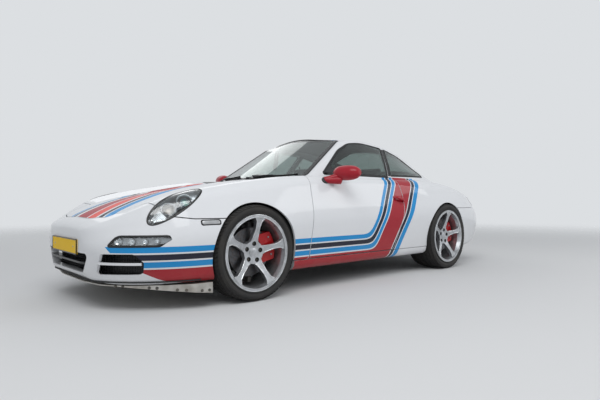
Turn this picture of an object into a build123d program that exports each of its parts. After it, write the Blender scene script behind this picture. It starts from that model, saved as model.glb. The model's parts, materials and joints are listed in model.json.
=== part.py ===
"""Rear-engined two-door coupe prepared for rally driving, as an assembly of separate pieces.

Millimetres. +X is forward, +Y is the car's left, +Z is up. The origin is on the ground under the
middle of the car's box. Every piece is written to parts/NAME.step.
"""

import os
from math import atan2, cos, radians, sin, tan

from build123d import *

# Overall size and running gear
LENGTH = 4426  # without the plates
NOSE = LENGTH / 2
TAIL = -LENGTH / 2
WHEELBASE = 2350
FRONT_AXLE = 1258
REAR_AXLE = FRONT_AXLE - WHEELBASE
REACH = 1100  # half width that every cutter passes
TOP = 1500  # height that every cutter passes

# Running gear details
RIM_LIP = 257
RIM_SEAT = 242
BARREL = 226
PLAY = 0.3  # running clearance of a shaft in its bore
RUNNING = 6  # room beside a part that turns
SPOKES = 5
SPOKE_TURN = 6
SPOKE = [
    (30, -44), (95, -24), (160, -17), (208, -22), (245, -52),
    (245, 52), (208, 22), (160, 17), (95, 24), (30, 44),
]
HUB_RADIUS = 78
HUB_THICK = 38
SPINDLE = 30
SPINDLE_SHORT = 15  # how far the spindle ends behind the hub's face
BOLT_CIRCLE = 60
BOLT_RECESS = 15
BOLT_DEEP = 13  # depth of a bolt's recess behind the hub's face
HUB_CROWN = 8  # the spokes rise in front of the hub's face by less than this
DISC_RADIUS = 165
DISC_THICK = 28
DISC_HAT = 9
CALIPER_RADIUS = 206
CALIPER_INNER = 98
CALIPER_SPAN = 196
CALIPER_START = 70  # nearest that a caliper comes to the axle, measured behind it
CALIPER_OUT = 17
CALIPER_IN = 24
CALIPER_TURN = 12
EYE_HEIGHT = 176
PIN = 8
ARM_INNER = {1: 430, -1: 330}
ARM_OUTER = 678
ARM_END = 22  # width of an arm's upright end
ARM_HALF = 13
ARM_LEVEL = 138  # height of an arm above or below the hub
ARM_THICK = 8  # half thickness of an arm
EYE_ABOVE = 22  # from a knuckle's eye to the arm's own eye
EYE_THICK = 5
KINGPIN_Y = 745
STRUT_Y = 485
STRUT_TOP = 639
RACK_X = 1150
RACK_Z = 230
RACK_HALF = 320
RACK_RADIUS = 22
UPPER_LINK = 404  # height of the rear upper link
REAR_HUB = 324
REAR_HALF_TRACK = 752
RAIL_INNER = 330  # inner face of the front rails
RAIL_OUTER = 400
REAR_RAIL_OUTER = 460
REAR_RAIL_LOW = 350
REAR_RAIL_TOP = 422  # the rear tub stands on the rails
FLOOR_LOW = 180
FLOOR_TOP = 196
FLOOR_HALF = 696
FLOOR_REAR = -655
PANEL = 8  # thickness of the pressed tubs
BULKHEAD = 12
TUNNEL = 118  # half width of the centre tunnel
TUNNEL_TOP = 350
PLATE_HALF = 262
PLATE_THICK = 8
PLATE_FRONT_Z = (334, 426)
PLATE_REAR_Z = (452, 552)
SILENCER_LOW = 262
SILENCER_TOP = 344
PIPE_Y = (455, 535)
PIPE_Z = 290
PIPE_RADIUS = 34
PIPE_BORE = 29
SKID_LOW = 60
SKID_HIGH = 160
SKID_THICK = 4
SKID_EDGE = [(1578, 812), (1700, 800), (1850, 728), (2030, 598), (2132, 440), (2166, 230)]
SKID_CUT = [(1400, 0), (1400, 88), (1560, 90), (2050, 152), (2300, 158), (2300, 0)]
SKID_CUT_RADIUS = 5
COLUMN_TILT = radians(22)
COLUMN_AXIS = (-cos(COLUMN_TILT), 0, sin(COLUMN_TILT))
WHEEL_Z = 772
STEERING_CENTRE = (262, -370, WHEEL_Z)
STEERING_RADIUS = 176
COLUMN_END = (262 + 44 * cos(COLUMN_TILT), -370, WHEEL_Z - 44 * sin(COLUMN_TILT))
ARCH_RADIUS = 338
HUB_HEIGHT = 321
WELL_FRONT_RADIUS = 354
WELL_REAR_RADIUS = 350
WELL_FRONT_Y = 432
WELL_REAR_Y = 545
LINER = 7
LINER_LOW = 262

# Skin and gaps
SKIN = 16
ROOF_SKIN = 26
GLASS = 5
GAP = 4  # between fixed panels
SWING_GAP = 6  # round a panel that opens
DOOR_LAP = 26  # step from a door's outer skin to its inner box
DOOR_SKIN = 20  # thickness of a door's outer skin
DOOR_INNER = 690  # nearest that a door comes to the centre line
DOOR_REST = 8  # room behind a door's outer skin

# Places along the car
BELT = 884
FIREWALL = 748
FRONT_SPLIT = 826  # front end of the shell that carries the cabin
LID_REAR = 800
HOOD_FRONT = 2136
NOSE_SPLIT = 1900
ENGINE_LID_FRONT = -1352
ENGINE_LID_REAR = -1965
SILL_TOP = 243

# Lower body, front to rear. Columns: x, then y and z of the sill, waist, crown and valley corners,
# z on the centre line, then the corner radii of sill, waist, crown, valley and centre.
BODY = [
    (NOSE, 250, 285, 335, 390, 290, 470, 180, 482, 488, 40, 60, 50, 120, 400),
    (2150, 450, 180, 565, 380, 480, 525, 300, 546, 554, 50, 120, 80, 200, 800),
    (2030, 608, 164, 717, 390, 600, 588, 380, 596, 606, 60, 200, 110, 300, 1200),
    (1850, 738, 164, 812, 420, 700, 690, 430, 652, 664, 60, 250, 110, 300, 1500),
    (1560, 820, 168, 870, 480, 735, 772, 470, 718, 733, 60, 300, 120, 300, 1500),
    (FRONT_AXLE, 835, 168, 884, 520, 752, 828, 500, 772, 788, 60, 350, 130, 300, 1500),
    (760, 832, 168, 868, 560, 768, 876, 560, 842, 862, 60, 400, 110, 300, 1500),
    (0, 832, 168, 866, 560, 786, 878, 560, 850, 870, 60, 400, 85, 300, 1500),
    (-500, 836, 170, 880, 560, 808, 888, 560, 855, 875, 60, 400, 105, 300, 1500),
    (REAR_AXLE, 842, 175, 906, 600, 800, 876, 560, 850, 870, 60, 400, 150, 300, 1500),
    (-1600, 800, 190, 866, 560, 722, 812, 500, 796, 808, 60, 350, 150, 300, 1500),
    (-1950, 690, 220, 775, 500, 612, 745, 400, 742, 752, 60, 300, 130, 300, 1000),
    (-2130, 560, 260, 650, 470, 500, 680, 300, 688, 696, 50, 200, 100, 200, 800),
    (TAIL, 420, 330, 500, 450, 400, 590, 250, 604, 610, 40, 80, 60, 150, 500),
]

# Cabin over the belt, front to rear. Columns: x, y and z of the foot, y and z of the roof corner,
# z on the centre line, and the radius of the roof corner.
SCREEN = [
    (820, 745, 600, 692, 722, 858, 20),
    (130, 790, 780, 548, 1190, 1276, 70),
]
ROOF = [
    (130, 790, 780, 548, 1190, 1276, 70),
    (-100, 796, 780, 556, 1218, 1300, 80),
    (-450, 800, 780, 548, 1200, 1288, 90),
    (-800, 790, 780, 516, 1126, 1228, 95),
    (REAR_AXLE, 752, 780, 478, 1030, 1138, 95),
    (-1400, 690, 770, 436, 920, 1022, 90),
    (-1700, 615, 730, 404, 826, 902, 80),
    (-1950, 530, 660, 380, 730, 786, 60),
]
ROOM_REAR = -640
ROOM_TOP = 838
SHELF_REAR = -1250
SHELF_HALF = 530
SHELF_FLOOR = 430
GLASS_BULGE = 12  # how far the side glass bows out at half height
ROOF_CROWN_RADIUS = 1400


def outline(plane, points, radii, inset=0.0):
    """A closed face on a plane: straight runs with rounded corners, drawn in by inset."""
    with BuildSketch(plane) as sketch:
        with BuildLine():
            FilletPolyline(*points, radius=radii, close=True)
        make_face()
        if inset:
            offset(amount=-inset, kind=Kind.INTERSECTION)
    return sketch.sketch


def prism(plane, points, radii, inset, reach):
    """A cutter: an outline on a plane, pushed along the plane's normal."""
    with BuildPart() as cutter:
        extrude(outline(plane, points, radii, inset), amount=reach, dir=plane.z_dir)
    return cutter.part


def side_prism(points, radii, inset=0.0):
    """A cutter seen from the side, right through the car: points are (x, z)."""
    return prism(Plane.XZ.offset(-REACH), points, radii, inset, 2 * REACH)


def top_prism(points, radii, inset=0.0, floor=450):
    """A cutter seen from above: points are (x, y). It starts at the height floor."""
    return prism(Plane.XY.offset(floor), points, radii, inset, TOP - floor)


def front_prism(points, radii, inset=0.0, start=1500):
    """A cutter seen from the front: points are (y, z). It runs forward from start."""
    return prism(Plane.YZ.offset(start), points, radii, inset, 2 * REACH)


def both_sides(points):
    """The points of one half with their mirror, for an outline across the centre line."""
    return points + [(x, -y) for x, y in reversed(points)]


def block(x, y, z, round_off=0.0):
    """A box from its (low, high) limits, its upright edges rounded if asked."""
    with BuildPart() as box:
        with Locations(((x[0] + x[1]) / 2, (y[0] + y[1]) / 2, (z[0] + z[1]) / 2)):
            Box(x[1] - x[0], y[1] - y[0], z[1] - z[0])
        if round_off:
            fillet(box.edges().filter_by(Axis.Z), round_off)
    return box.part


def rod(start, end, radius):
    """A round bar from one point to another."""
    run = Vector(end) - Vector(start)
    with BuildPart() as bar:
        with BuildSketch(Plane(origin=start, z_dir=run)):
            Circle(radius)
        extrude(amount=run.length)
    return bar.part


def common(shape, *tools):
    """What a shape shares with each of the tools."""
    with BuildPart() as kept:
        add(shape)
        for tool in tools:
            add(tool, mode=Mode.INTERSECT)
    return kept.part


def minus(shape, *tools):
    """A shape with the tools cut away."""
    with BuildPart() as left:
        add(shape)
        for tool in tools:
            add(tool, mode=Mode.SUBTRACT)
    return left.part


def plus(*shapes):
    """Several shapes joined."""
    with BuildPart() as joined:
        for shape in shapes:
            add(shape)
    return joined.part


def body_section(row, inset):
    """One closed section of the lower body at its place along the car."""
    x, y1, z1, y2, z2, y3, z3, y4, z4, z5, r1, r2, r3, r4, r5 = row
    half = [
        (y1 - inset, z1 + inset),
        (y2 - inset, z2),
        (y3 - inset * 0.8, z3 - inset * 0.9),
        (y4, z4 - inset),
    ]
    points = half + [(0, z5 - inset)] + [(-y, z) for y, z in reversed(half)]
    radii = [max(20, r1 - inset), r2 - inset, r3 - inset, r4 + inset]
    return outline(Plane.YZ.offset(x), points, radii + [r5 - inset] + radii[::-1])


def body_loft(inset=0.0, rows=BODY):
    """The lower body from nose to tail as one smooth solid."""
    with BuildPart() as lower:
        loft(sections=[body_section(row, inset) for row in rows])
    return lower.part


def cabin_section(row, inset):
    """One closed section of the cabin: foot, bowed side, roof corner and crowned roof."""
    x, foot_y, foot_z, corner_y, corner_z, centre_z, radius = row
    corner_y, corner_z, centre_z = corner_y - inset * 0.8, corner_z - inset, centre_z - inset
    foot_y = foot_y - inset
    lean = atan2(corner_z - foot_z, foot_y - corner_y)
    middle = (
        (foot_y + corner_y) / 2 + GLASS_BULGE * sin(lean),
        (foot_z + corner_z) / 2 + GLASS_BULGE * cos(lean),
    )
    half = [(foot_y, foot_z), middle, (corner_y, corner_z)]
    points = half + [(0, centre_z)] + [(-y, z) for y, z in reversed(half)]
    side = 0.3 * (corner_z - foot_z) / GLASS_BULGE * 20
    radii = [8, side, max(12, radius - inset)]
    return outline(Plane.YZ.offset(x), points, radii + [ROOF_CROWN_RADIUS] + radii[::-1])


def cabin_loft(inset=0.0):
    """The cabin: a straight-drawn windscreen part and a smooth roof part, joined."""
    with BuildPart() as cabin:
        loft(sections=[cabin_section(row, inset) for row in SCREEN], ruled=True)
        loft(sections=[cabin_section(row, inset) for row in ROOF])
    return cabin.part


# Outlines of the panels. Side views are (x, z), top views (x, y), front views (y, z).
DOOR = [(776, SILL_TOP), (742, 600), (712, BELT), (-352, BELT), (-412, 640), (-250, SILL_TOP)]
DOOR_RADII = [30, 900, 12, 12, 420, 60]
WINDOW = [
    (468, BELT + 4), (196, 1112), (60, 1178), (-95, 1198), (-402, 1170), (-296, BELT + 4),
]
WINDOW_RADII = [10, 300, 240, 700, 14, 10]
QUARTER = [(-334, 896), (-448, 1168), (-700, 1106), (-972, 944), (-992, 912)]
QUARTER_RADII = [14, 14, 500, 12, 12]
SCREEN_LINE = both_sides([(78, 500), (604, 628), (770, 300)])
SCREEN_RADII = [60, 40, 260, 260, 40, 60]
REAR_WINDOW = both_sides([(-1318, 425), (-716, 470)])
REAR_WINDOW_RADII = [90, 70, 70, 90]
ROOF_LINE = both_sides([(-700, 470), (66, 494), (130, 250)])
ROOF_RADII = [20, 60, 300, 300, 60, 20]
ENGINE_LID = both_sides([(ENGINE_LID_REAR, 430), (ENGINE_LID_FRONT, 462)])
ENGINE_LID_RADII = [80, 50, 50, 80]
HOOD = both_sides([(LID_REAR, 600), (1500, 500), (1960, 462), (2088, 430), (HOOD_FRONT, 240)])
HOOD_RADII = [60, 1500, 160, 60, 260, 260, 60, 160, 1500, 60]
COWL_REAR = 640
COWL_HALF = 662
FENDER = [
    (779, 246), (745, 600), (711, 920), (1300, 920), (2010, 815),
    (1956, 732), (1855, 579), (1700, 560), (1200, 560), (1200, 246),
]
FENDER_RADII = [30, 900, 5, 5, 5, 5, 40, 200, 5, 5]
NOSE_CUT = [(1240, 60), (1240, 556), (1700, 556), (1858, 575), (1960, 730), (2400, 730), (2400, 60)]
NOSE_CUT_RADII = [5, 5, 200, 40, 40, 5, 5]
TAIL_CUT = [(-1080, 60), (-1080, 604), (-1760, 604), (-1900, 690), (-1985, 900), (-2400, 900), (-2400, 60)]
TAIL_CUT_RADII = [5, 5, 60, 60, 60, 5, 5]
TAIL_LAMP = [(-1812, 676), (-1905, 626), (-2120, 600), (-2190, 645), (-2060, 728), (-1905, 734)]
TAIL_LAMP_RADII = [14, 60, 30, 30, 60, 60]
SLOT_LAMP = [(552, 392), (600, 464), (788, 466), (798, 438), (772, 394)]
SLOT_LAMP_RADII = [12, 40, 14, 14, 14]
CENTRE_INTAKE = [(-412, 348), (412, 348), (332, 226), (-332, 226)]
CENTRE_INTAKE_RADII = [20, 20, 30, 30]
SIDE_INTAKE = [(520, 353), (692, 355), (712, 304), (688, 232), (446, 226)]
SIDE_INTAKE_RADII = [16, 24, 20, 30, 14]
SIDE_SLAT = [(484, 300), (708, 303), (706, 291), (478, 288)]
CENTRE_SLAT = [(-370, 294), (370, 294), (362, 282), (-362, 282)]
SLAT_RADII = [2, 2, 2, 2]
GRILLE_LOW = 210
GRILLE_TALL = 156
GRILLE_BACK = ((2116, 2124), (-392, 392), (214, 346))
GRILLE_LINE = [(2108, 404), (2020, 560), (1932, 720), (1922, 712), (2010, 554), (2098, 398)]
GRILLE_RADII = [1, 60, 1, 1, 60, 1]
HEADLAMP_CENTRE = (1781, 708, 642)
HEADLAMP_AIM = (0.34, 0.69, 0.61)
HEADLAMP_ALONG = (0.86, 0.02, -0.51)
HEADLAMP_LONG = 208
HEADLAMP_WIDE = 76
PIPE_SLOT_X = (-2300, -1984)
PIPE_SLOT_Y = (415, 575)
PIPE_SLOT_Z = (150, 336)
MIRROR_CENTRE = (415, 888, 890)
MIRROR_SWEEP = radians(14)
MIRROR_DEEP = 64
MIRROR_TALL = 59
MIRROR_SECTIONS = [(-110, 0.35), (-96, 0.66), (-52, 0.95), (12, 1.0), (68, 0.88), (100, 0.62), (116, 0.32)]
MIRROR_FOOT = (550, 774, 834)
MIRROR_NECK = (440, 850, 872)
MIRROR_STEM = 23
HEADLAMP_DEPTH = (90, 130)  # how far the bore reaches behind and before the lamp's centre


def headlamp_bore(inset=0.0):
    """An oval bored into both wings along the lamp's own axis."""
    aim = Vector(*HEADLAMP_AIM).normalized()
    origin = Vector(*HEADLAMP_CENTRE) - aim * HEADLAMP_DEPTH[0]
    with BuildPart() as cutter:
        with BuildSketch(Plane(origin=origin, x_dir=HEADLAMP_ALONG, z_dir=aim)):
            Ellipse(HEADLAMP_LONG - inset, HEADLAMP_WIDE - inset)
        extrude(amount=sum(HEADLAMP_DEPTH))
        mirror(about=Plane.XZ)
    return cutter.part


def mirrored_front(points, radii, inset=0.0):
    """A front cutter and its mirror on the other side of the car."""
    with BuildPart() as cutter:
        add(front_prism(points, radii, inset))
        mirror(about=Plane.XZ)
    return cutter.part


def drums(radius, x, inner, outer=REACH):
    """A round block on each side of an axle, from inner to outer across the car."""
    with BuildPart() as both:
        with BuildSketch(Plane.XZ.offset(-inner)):
            with Locations((x, HUB_HEIGHT)):
                Circle(radius)
        extrude(amount=inner - outer)
        mirror(about=Plane.XZ)
    return both.part


def cabin_void():
    """The space for people below the belt, and the narrower one over the rear seats."""
    # Columns: x, then half widths at the floor, at the elbow and at the belt
    rows = [(FIREWALL, 722, 772, 745), (100, 722, 780, 752), (ROOM_REAR, 722, 780, 760)]
    with BuildPart() as space:
        faces = []
        for x, low, wide, belt in rows:
            half = [(low, 205), (wide, 560), (belt, 790), (belt - 22, ROOM_TOP)]
            points = half + [(-y, z) for y, z in reversed(half)]
            faces.append(outline(Plane.YZ.offset(x), points, [40, 300, 30, 10, 10, 30, 300, 40]))
        loft(sections=faces, ruled=True)
        add(block((SHELF_REAR, ROOM_REAR), (-SHELF_HALF, SHELF_HALF), (SHELF_FLOOR, BELT)))
    return space.part


def both(x, y, z):
    """The space between two distances from the centre line, on both sides."""
    return plus(block(x, y, z), block(x, (-y[1], -y[0]), z))


# The whole skin, front and rear, before it is parted into panels
body_outer = body_loft()
body_inner = body_loft(SKIN, BODY[1:-1])
body_rest = body_loft(SKIN + GAP, BODY[1:-1])
cabin_outer = cabin_loft()
cabin_inner = cabin_loft(ROOF_SKIN)
cabin_glass = cabin_loft(GLASS)
WIDE = (-REACH, REACH)
TALL = (0, TOP)
room = cabin_void()
front_room = common(body_inner, block((FIREWALL - 60, 2149), WIDE, TALL))
rear_room = common(body_inner, block((-2120, ROOM_REAR - SKIN), WIDE, TALL))
under_opening = block((-2040, 1600), (-690, 690), (0, 205))
front_arches = drums(ARCH_RADIUS, FRONT_AXLE, WELL_FRONT_Y)
rear_arches = drums(ARCH_RADIUS, REAR_AXLE, WELL_REAR_Y)
front_skin = minus(
    common(body_outer, block((FIREWALL - 50, 2400), WIDE, TALL)), front_room, under_opening, front_arches
)
pillar_room = common(body_inner, block((FIREWALL - 10, 900), (-730, 730), TALL))
shell = minus(
    common(plus(body_outer, cabin_outer), block((-2400, FRONT_SPLIT), WIDE, TALL)),
    cabin_inner,
    room,
    rear_room,
    pillar_room,
    under_opening,
    rear_arches,
)

hood_hole = top_prism(HOOD, HOOD_RADII, -SWING_GAP / 2)
screen_hole = top_prism(SCREEN_LINE, SCREEN_RADII, floor=820)
roof_hole = top_prism(ROOF_LINE, ROOF_RADII, -GAP / 2, floor=1000)
rear_window_hole = top_prism(REAR_WINDOW, REAR_WINDOW_RADII, floor=880)
engine_lid_hole = top_prism(ENGINE_LID, ENGINE_LID_RADII, -SWING_GAP / 2, floor=640)
headlamp_hole = headlamp_bore()
tail_lamp_hole = common(
    side_prism(TAIL_LAMP, TAIL_LAMP_RADII), both((-2400, -1700), (405, REACH), TALL)
)
sill_band = block((-800, 925), WIDE, (0, SILL_TOP))
side_intakes = mirrored_front(SIDE_INTAKE, SIDE_INTAKE_RADII)
centre_intake = front_prism(CENTRE_INTAKE, CENTRE_INTAKE_RADII)
rear_low = side_prism(TAIL_CUT, TAIL_CUT_RADII, -GAP / 2)

# Front lid, wings, nose and what sits in them
with BuildPart() as front_lid:
    add(common(front_skin, top_prism(HOOD, HOOD_RADII, SWING_GAP / 2)))
front_lid.part.label = "front_lid"

with BuildPart() as front_fenders:
    add(common(front_skin, side_prism(FENDER, FENDER_RADII)))
    add(hood_hole, mode=Mode.SUBTRACT)
    add(headlamp_hole, mode=Mode.SUBTRACT)
    add(block((COWL_REAR, LID_REAR), (-COWL_HALF - GAP, COWL_HALF + GAP), TALL), mode=Mode.SUBTRACT)
    add(block((600, 2400), (-400, 400), TALL), mode=Mode.SUBTRACT)
front_fenders.part.label = "front_fenders"

with BuildPart() as front_bumper:
    add(common(front_skin, side_prism(NOSE_CUT, NOSE_CUT_RADII, GAP / 2)))
    for tool in (
        hood_hole,
        headlamp_hole,
        mirrored_front(SLOT_LAMP, SLOT_LAMP_RADII),
        side_intakes,
        centre_intake,
    ):
        add(tool, mode=Mode.SUBTRACT)
front_bumper.part.label = "front_bumper"

with BuildPart() as bumper_grilles:
    add(block(*GRILLE_BACK))
    for side in (1, -1):
        line = [(x, side * y) for x, y in GRILLE_LINE]
        add(prism(Plane.XY.offset(GRILLE_LOW), line, GRILLE_RADII, 0, GRILLE_TALL))
    add(body_rest, mode=Mode.INTERSECT)
    add(common(front_skin, mirrored_front(SIDE_SLAT, SLAT_RADII), side_intakes))
    add(common(front_skin, front_prism(CENTRE_SLAT, SLAT_RADII, start=NOSE_SPLIT), centre_intake))
bumper_grilles.part.label = "bumper_grilles"

with BuildPart() as headlamps:
    add(common(body_outer, headlamp_bore(GAP)))
headlamps.part.label = "headlamps"

with BuildPart() as bumper_lamps:
    add(common(front_skin, mirrored_front(SLOT_LAMP, SLOT_LAMP_RADII, GAP / 2)))
bumper_lamps.part.label = "bumper_lamps"

# Doors: an outer skin with a narrower box behind it, and the opening that takes both
door_core = body_loft(DOOR_SKIN, BODY[5:10])
jamb_core = body_loft(DOOR_SKIN + DOOR_REST, BODY[5:10])
door_face = side_prism(DOOR, DOOR_RADII, SWING_GAP / 2)
door_box = side_prism(DOOR, DOOR_RADII, DOOR_LAP)
door_space = both((-450, 800), (DOOR_INNER - GAP, REACH), (200, BELT + SWING_GAP))
opening_face = common(minus(side_prism(DOOR, DOOR_RADII, -SWING_GAP / 2), jamb_core), door_space)
opening_box = common(side_prism(DOOR, DOOR_RADII, DOOR_LAP - DOOR_REST), door_space)
window_band = both((-500, 700), (350, REACH), (BELT - 1, TOP))
window_hole = common(side_prism(WINDOW, WINDOW_RADII, -SWING_GAP), window_band)
quarter_hole = common(side_prism(QUARTER, QUARTER_RADII), both((-1100, -300), (350, REACH), (BELT, TOP)))
glass_shell = minus(cabin_outer, cabin_glass)
door_wall = common(shell, both((-450, 800), (DOOR_INNER, REACH), (200, BELT)))
door_pair = plus(minus(common(door_wall, door_face), door_core), common(door_wall, door_box, door_core))

# Body sides: pillars, rails and rear quarters, left after every panel and opening is cut
with BuildPart() as body_sides:
    add(shell)
    for tool in (
        opening_face,
        opening_box,
        window_hole,
        quarter_hole,
        screen_hole,
        roof_hole,
        rear_window_hole,
        engine_lid_hole,
        tail_lamp_hole,
        sill_band,
        rear_low,
        hood_hole,
        minus(side_prism(FENDER, FENDER_RADII, -GAP), body_rest),
        block((COWL_REAR - GAP, FRONT_SPLIT), (-COWL_HALF - GAP, COWL_HALF + GAP), (780, TOP)),
    ):
        add(tool, mode=Mode.SUBTRACT)
body_sides.part.label = "body_sides"

with BuildPart() as cowl:
    add(common(shell, block((COWL_REAR, LID_REAR - SWING_GAP), (-COWL_HALF, COWL_HALF), (780, TOP))))
    add(screen_hole, mode=Mode.SUBTRACT)
cowl.part.label = "cowl"

with BuildPart() as sills:
    add(common(body_outer, both((-757, 922), (700, REACH), (0, SILL_TOP - GAP))))
    for x, inner in ((FRONT_AXLE, WELL_FRONT_Y), (REAR_AXLE, WELL_REAR_Y)):
        add(drums(ARCH_RADIUS + GAP, x, inner), mode=Mode.SUBTRACT)
sills.part.label = "sills"

with BuildPart() as roof:
    add(common(shell, top_prism(ROOF_LINE, ROOF_RADII, GAP / 2, floor=1000)))
roof.part.label = "roof"

with BuildPart() as windscreen:
    add(common(glass_shell, top_prism(SCREEN_LINE, SCREEN_RADII, GAP / 2, floor=820)))
    add(top_prism(ROOF_LINE, ROOF_RADII, -GAP / 2, floor=1000), mode=Mode.SUBTRACT)
    add(body_outer, mode=Mode.SUBTRACT)
windscreen.part.label = "windscreen"

with BuildPart() as rear_window:
    add(common(glass_shell, top_prism(REAR_WINDOW, REAR_WINDOW_RADII, GAP / 2, floor=880)))
    add(body_outer, mode=Mode.SUBTRACT)
rear_window.part.label = "rear_window"

with BuildPart() as quarter_glass:
    add(common(glass_shell, side_prism(QUARTER, QUARTER_RADII, GAP / 2)))
    add(body_outer, mode=Mode.SUBTRACT)
quarter_glass.part.label = "quarter_glass"

with BuildPart() as engine_lid:
    add(common(shell, top_prism(ENGINE_LID, ENGINE_LID_RADII, SWING_GAP / 2, floor=640)))
engine_lid.part.label = "engine_lid"

with BuildPart() as tail_lamps:
    tail_zone = both((-2400, -1700), (405 + GAP, REACH), TALL)
    add(common(shell, side_prism(TAIL_LAMP, TAIL_LAMP_RADII, GAP / 2), tail_zone))
    add(engine_lid_hole, mode=Mode.SUBTRACT)
tail_lamps.part.label = "tail_lamps"

with BuildPart() as rear_bumper:
    add(common(shell, side_prism(TAIL_CUT, TAIL_CUT_RADII, GAP / 2)))
    for tool in (engine_lid_hole, tail_lamp_hole, both(PIPE_SLOT_X, PIPE_SLOT_Y, PIPE_SLOT_Z)):
        add(tool, mode=Mode.SUBTRACT)
rear_bumper.part.label = "rear_bumper"

with BuildPart() as plates:
    add(block((NOSE, NOSE + PLATE_THICK), (-PLATE_HALF, PLATE_HALF), PLATE_FRONT_Z))
    add(block((TAIL - PLATE_THICK, TAIL), (-PLATE_HALF, PLATE_HALF), PLATE_REAR_Z))
plates.part.label = "plates"

# Doors and what they carry, left and right
left_space = block((-2400, 2400), (0, REACH), TALL)
right_space = block((-2400, 2400), (-REACH, 0), TALL)
glass_pair = common(glass_shell, side_prism(WINDOW, WINDOW_RADII))

with BuildPart() as mirror_pod:
    faces = []
    for turn, scale in MIRROR_SECTIONS:
        centre = Vector(*MIRROR_CENTRE) + Vector(-sin(MIRROR_SWEEP), cos(MIRROR_SWEEP), 0) * turn
        across = Plane(
            origin=centre,
            x_dir=(cos(MIRROR_SWEEP), sin(MIRROR_SWEEP), 0),
            z_dir=(-sin(MIRROR_SWEEP), cos(MIRROR_SWEEP), 0),
        )
        with BuildSketch(across) as section:
            Ellipse(MIRROR_DEEP * scale, MIRROR_TALL * scale)
        faces.append(section.sketch)
    loft(sections=faces)
    add(rod(MIRROR_FOOT, MIRROR_NECK, MIRROR_STEM))
mirror_pair = plus(mirror_pod.part, mirror_pod.part.mirror(Plane.XZ))

door_parts = []
for side, space in (("left", left_space), ("right", right_space)):
    for name, shape in (("door", door_pair), ("door_glass", glass_pair), ("mirror", mirror_pair)):
        piece = common(shape, space)
        if name == "mirror":
            piece = minus(piece, door_pair)
        piece.label = f"{name}_{side}"
        door_parts.append(piece)

# Floor with its tunnel, bulkhead, and the tubs in front and behind with the rails under them
with BuildPart() as floor_pan:
    add(block((FLOOR_REAR, FIREWALL), (-FLOOR_HALF, FLOOR_HALF), (FLOOR_LOW, FLOOR_TOP)))
    add(block((ROOM_REAR, FIREWALL), (-TUNNEL, TUNNEL), (FLOOR_TOP, TUNNEL_TOP)))
    hollow = (BULKHEAD - TUNNEL, TUNNEL - BULKHEAD)
    add(block((-700, 800), hollow, (0, TUNNEL_TOP - BULKHEAD)), mode=Mode.SUBTRACT)
floor_pan.part.label = "floor_pan"

with BuildPart() as bulkhead:
    add(common(body_rest, block((FIREWALL, FIREWALL + BULKHEAD), (-722, 722), (SILL_TOP, ROOM_TOP))))
    add(block((FIREWALL, FIREWALL + BULKHEAD), (-FLOOR_HALF, FLOOR_HALF), (FLOOR_LOW, SILL_TOP)))
bulkhead.part.label = "bulkhead"


def tub(x, half, z, front=PANEL):
    """An open-topped box of sheet from its outer limits. A front below zero leaves that wall out."""
    inner = block((x[0] + PANEL, x[1] - front), (PANEL - half, half - PANEL), (z[0] + PANEL, TOP))
    return minus(block(x, (-half, half), z), inner)


with BuildPart() as front_tub:
    add(tub((880, 1620), 430, (255, 652)))
    add(block((FIREWALL + BULKHEAD, 880), (-430, 430), (628, 640)))
    add(both((FIREWALL + BULKHEAD, 1960), (RAIL_INNER, RAIL_OUTER), (205, 255)))
    add(both((FRONT_AXLE - 60, FRONT_AXLE + 60), (424, 545), (640, 652)))
    add(block((1940, 1990), (-500, 500), (255, 400)))
front_tub.part.label = "front_tub"

with BuildPart() as rear_tub:
    add(tub((SHELF_REAR - PANEL, ROOM_REAR - SKIN), SHELF_HALF + PANEL, (REAR_RAIL_TOP, 836), -PANEL))
    add(both((-1960, ROOM_REAR - SKIN), (RAIL_OUTER, REAR_RAIL_OUTER), (REAR_RAIL_LOW, REAR_RAIL_TOP)))
rear_tub.part.label = "rear_tub"

with BuildPart() as arch_liners:
    for x, radius, inner in (
        (FRONT_AXLE, WELL_FRONT_RADIUS, WELL_FRONT_Y),
        (REAR_AXLE, WELL_REAR_RADIUS, WELL_REAR_Y),
    ):
        ring = minus(drums(radius + LINER, x, inner), drums(radius, x, inner - 10))
        add(common(ring, body_rest, block((x - 500, x + 500), WIDE, (LINER_LOW, TOP))))
arch_liners.part.label = "arch_liners"

# Wheels: tyre, rim and brake disc, one set for each corner
def tyre_part(radius, width):
    """A tyre about the Y axis: bead, bulged wall, rounded shoulder and flat tread."""
    half = width / 2
    side = [
        (RIM_SEAT + PLAY, half - 19),
        (RIM_LIP + PLAY, half - 17),
        (RIM_LIP + 28, half),
        (radius - 16, half - 5),
        (radius, half - 24),
    ]
    points = side + [(r, -y) for r, y in reversed(side)]
    radii = [2, 10, 24, 30, 14]
    with BuildPart() as ring:
        with BuildSketch(Plane.XY):
            with BuildLine():
                FilletPolyline(*points, radius=radii + radii[::-1], close=True)
            make_face()
        revolve(axis=Axis.Y)
    return ring.part


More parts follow.
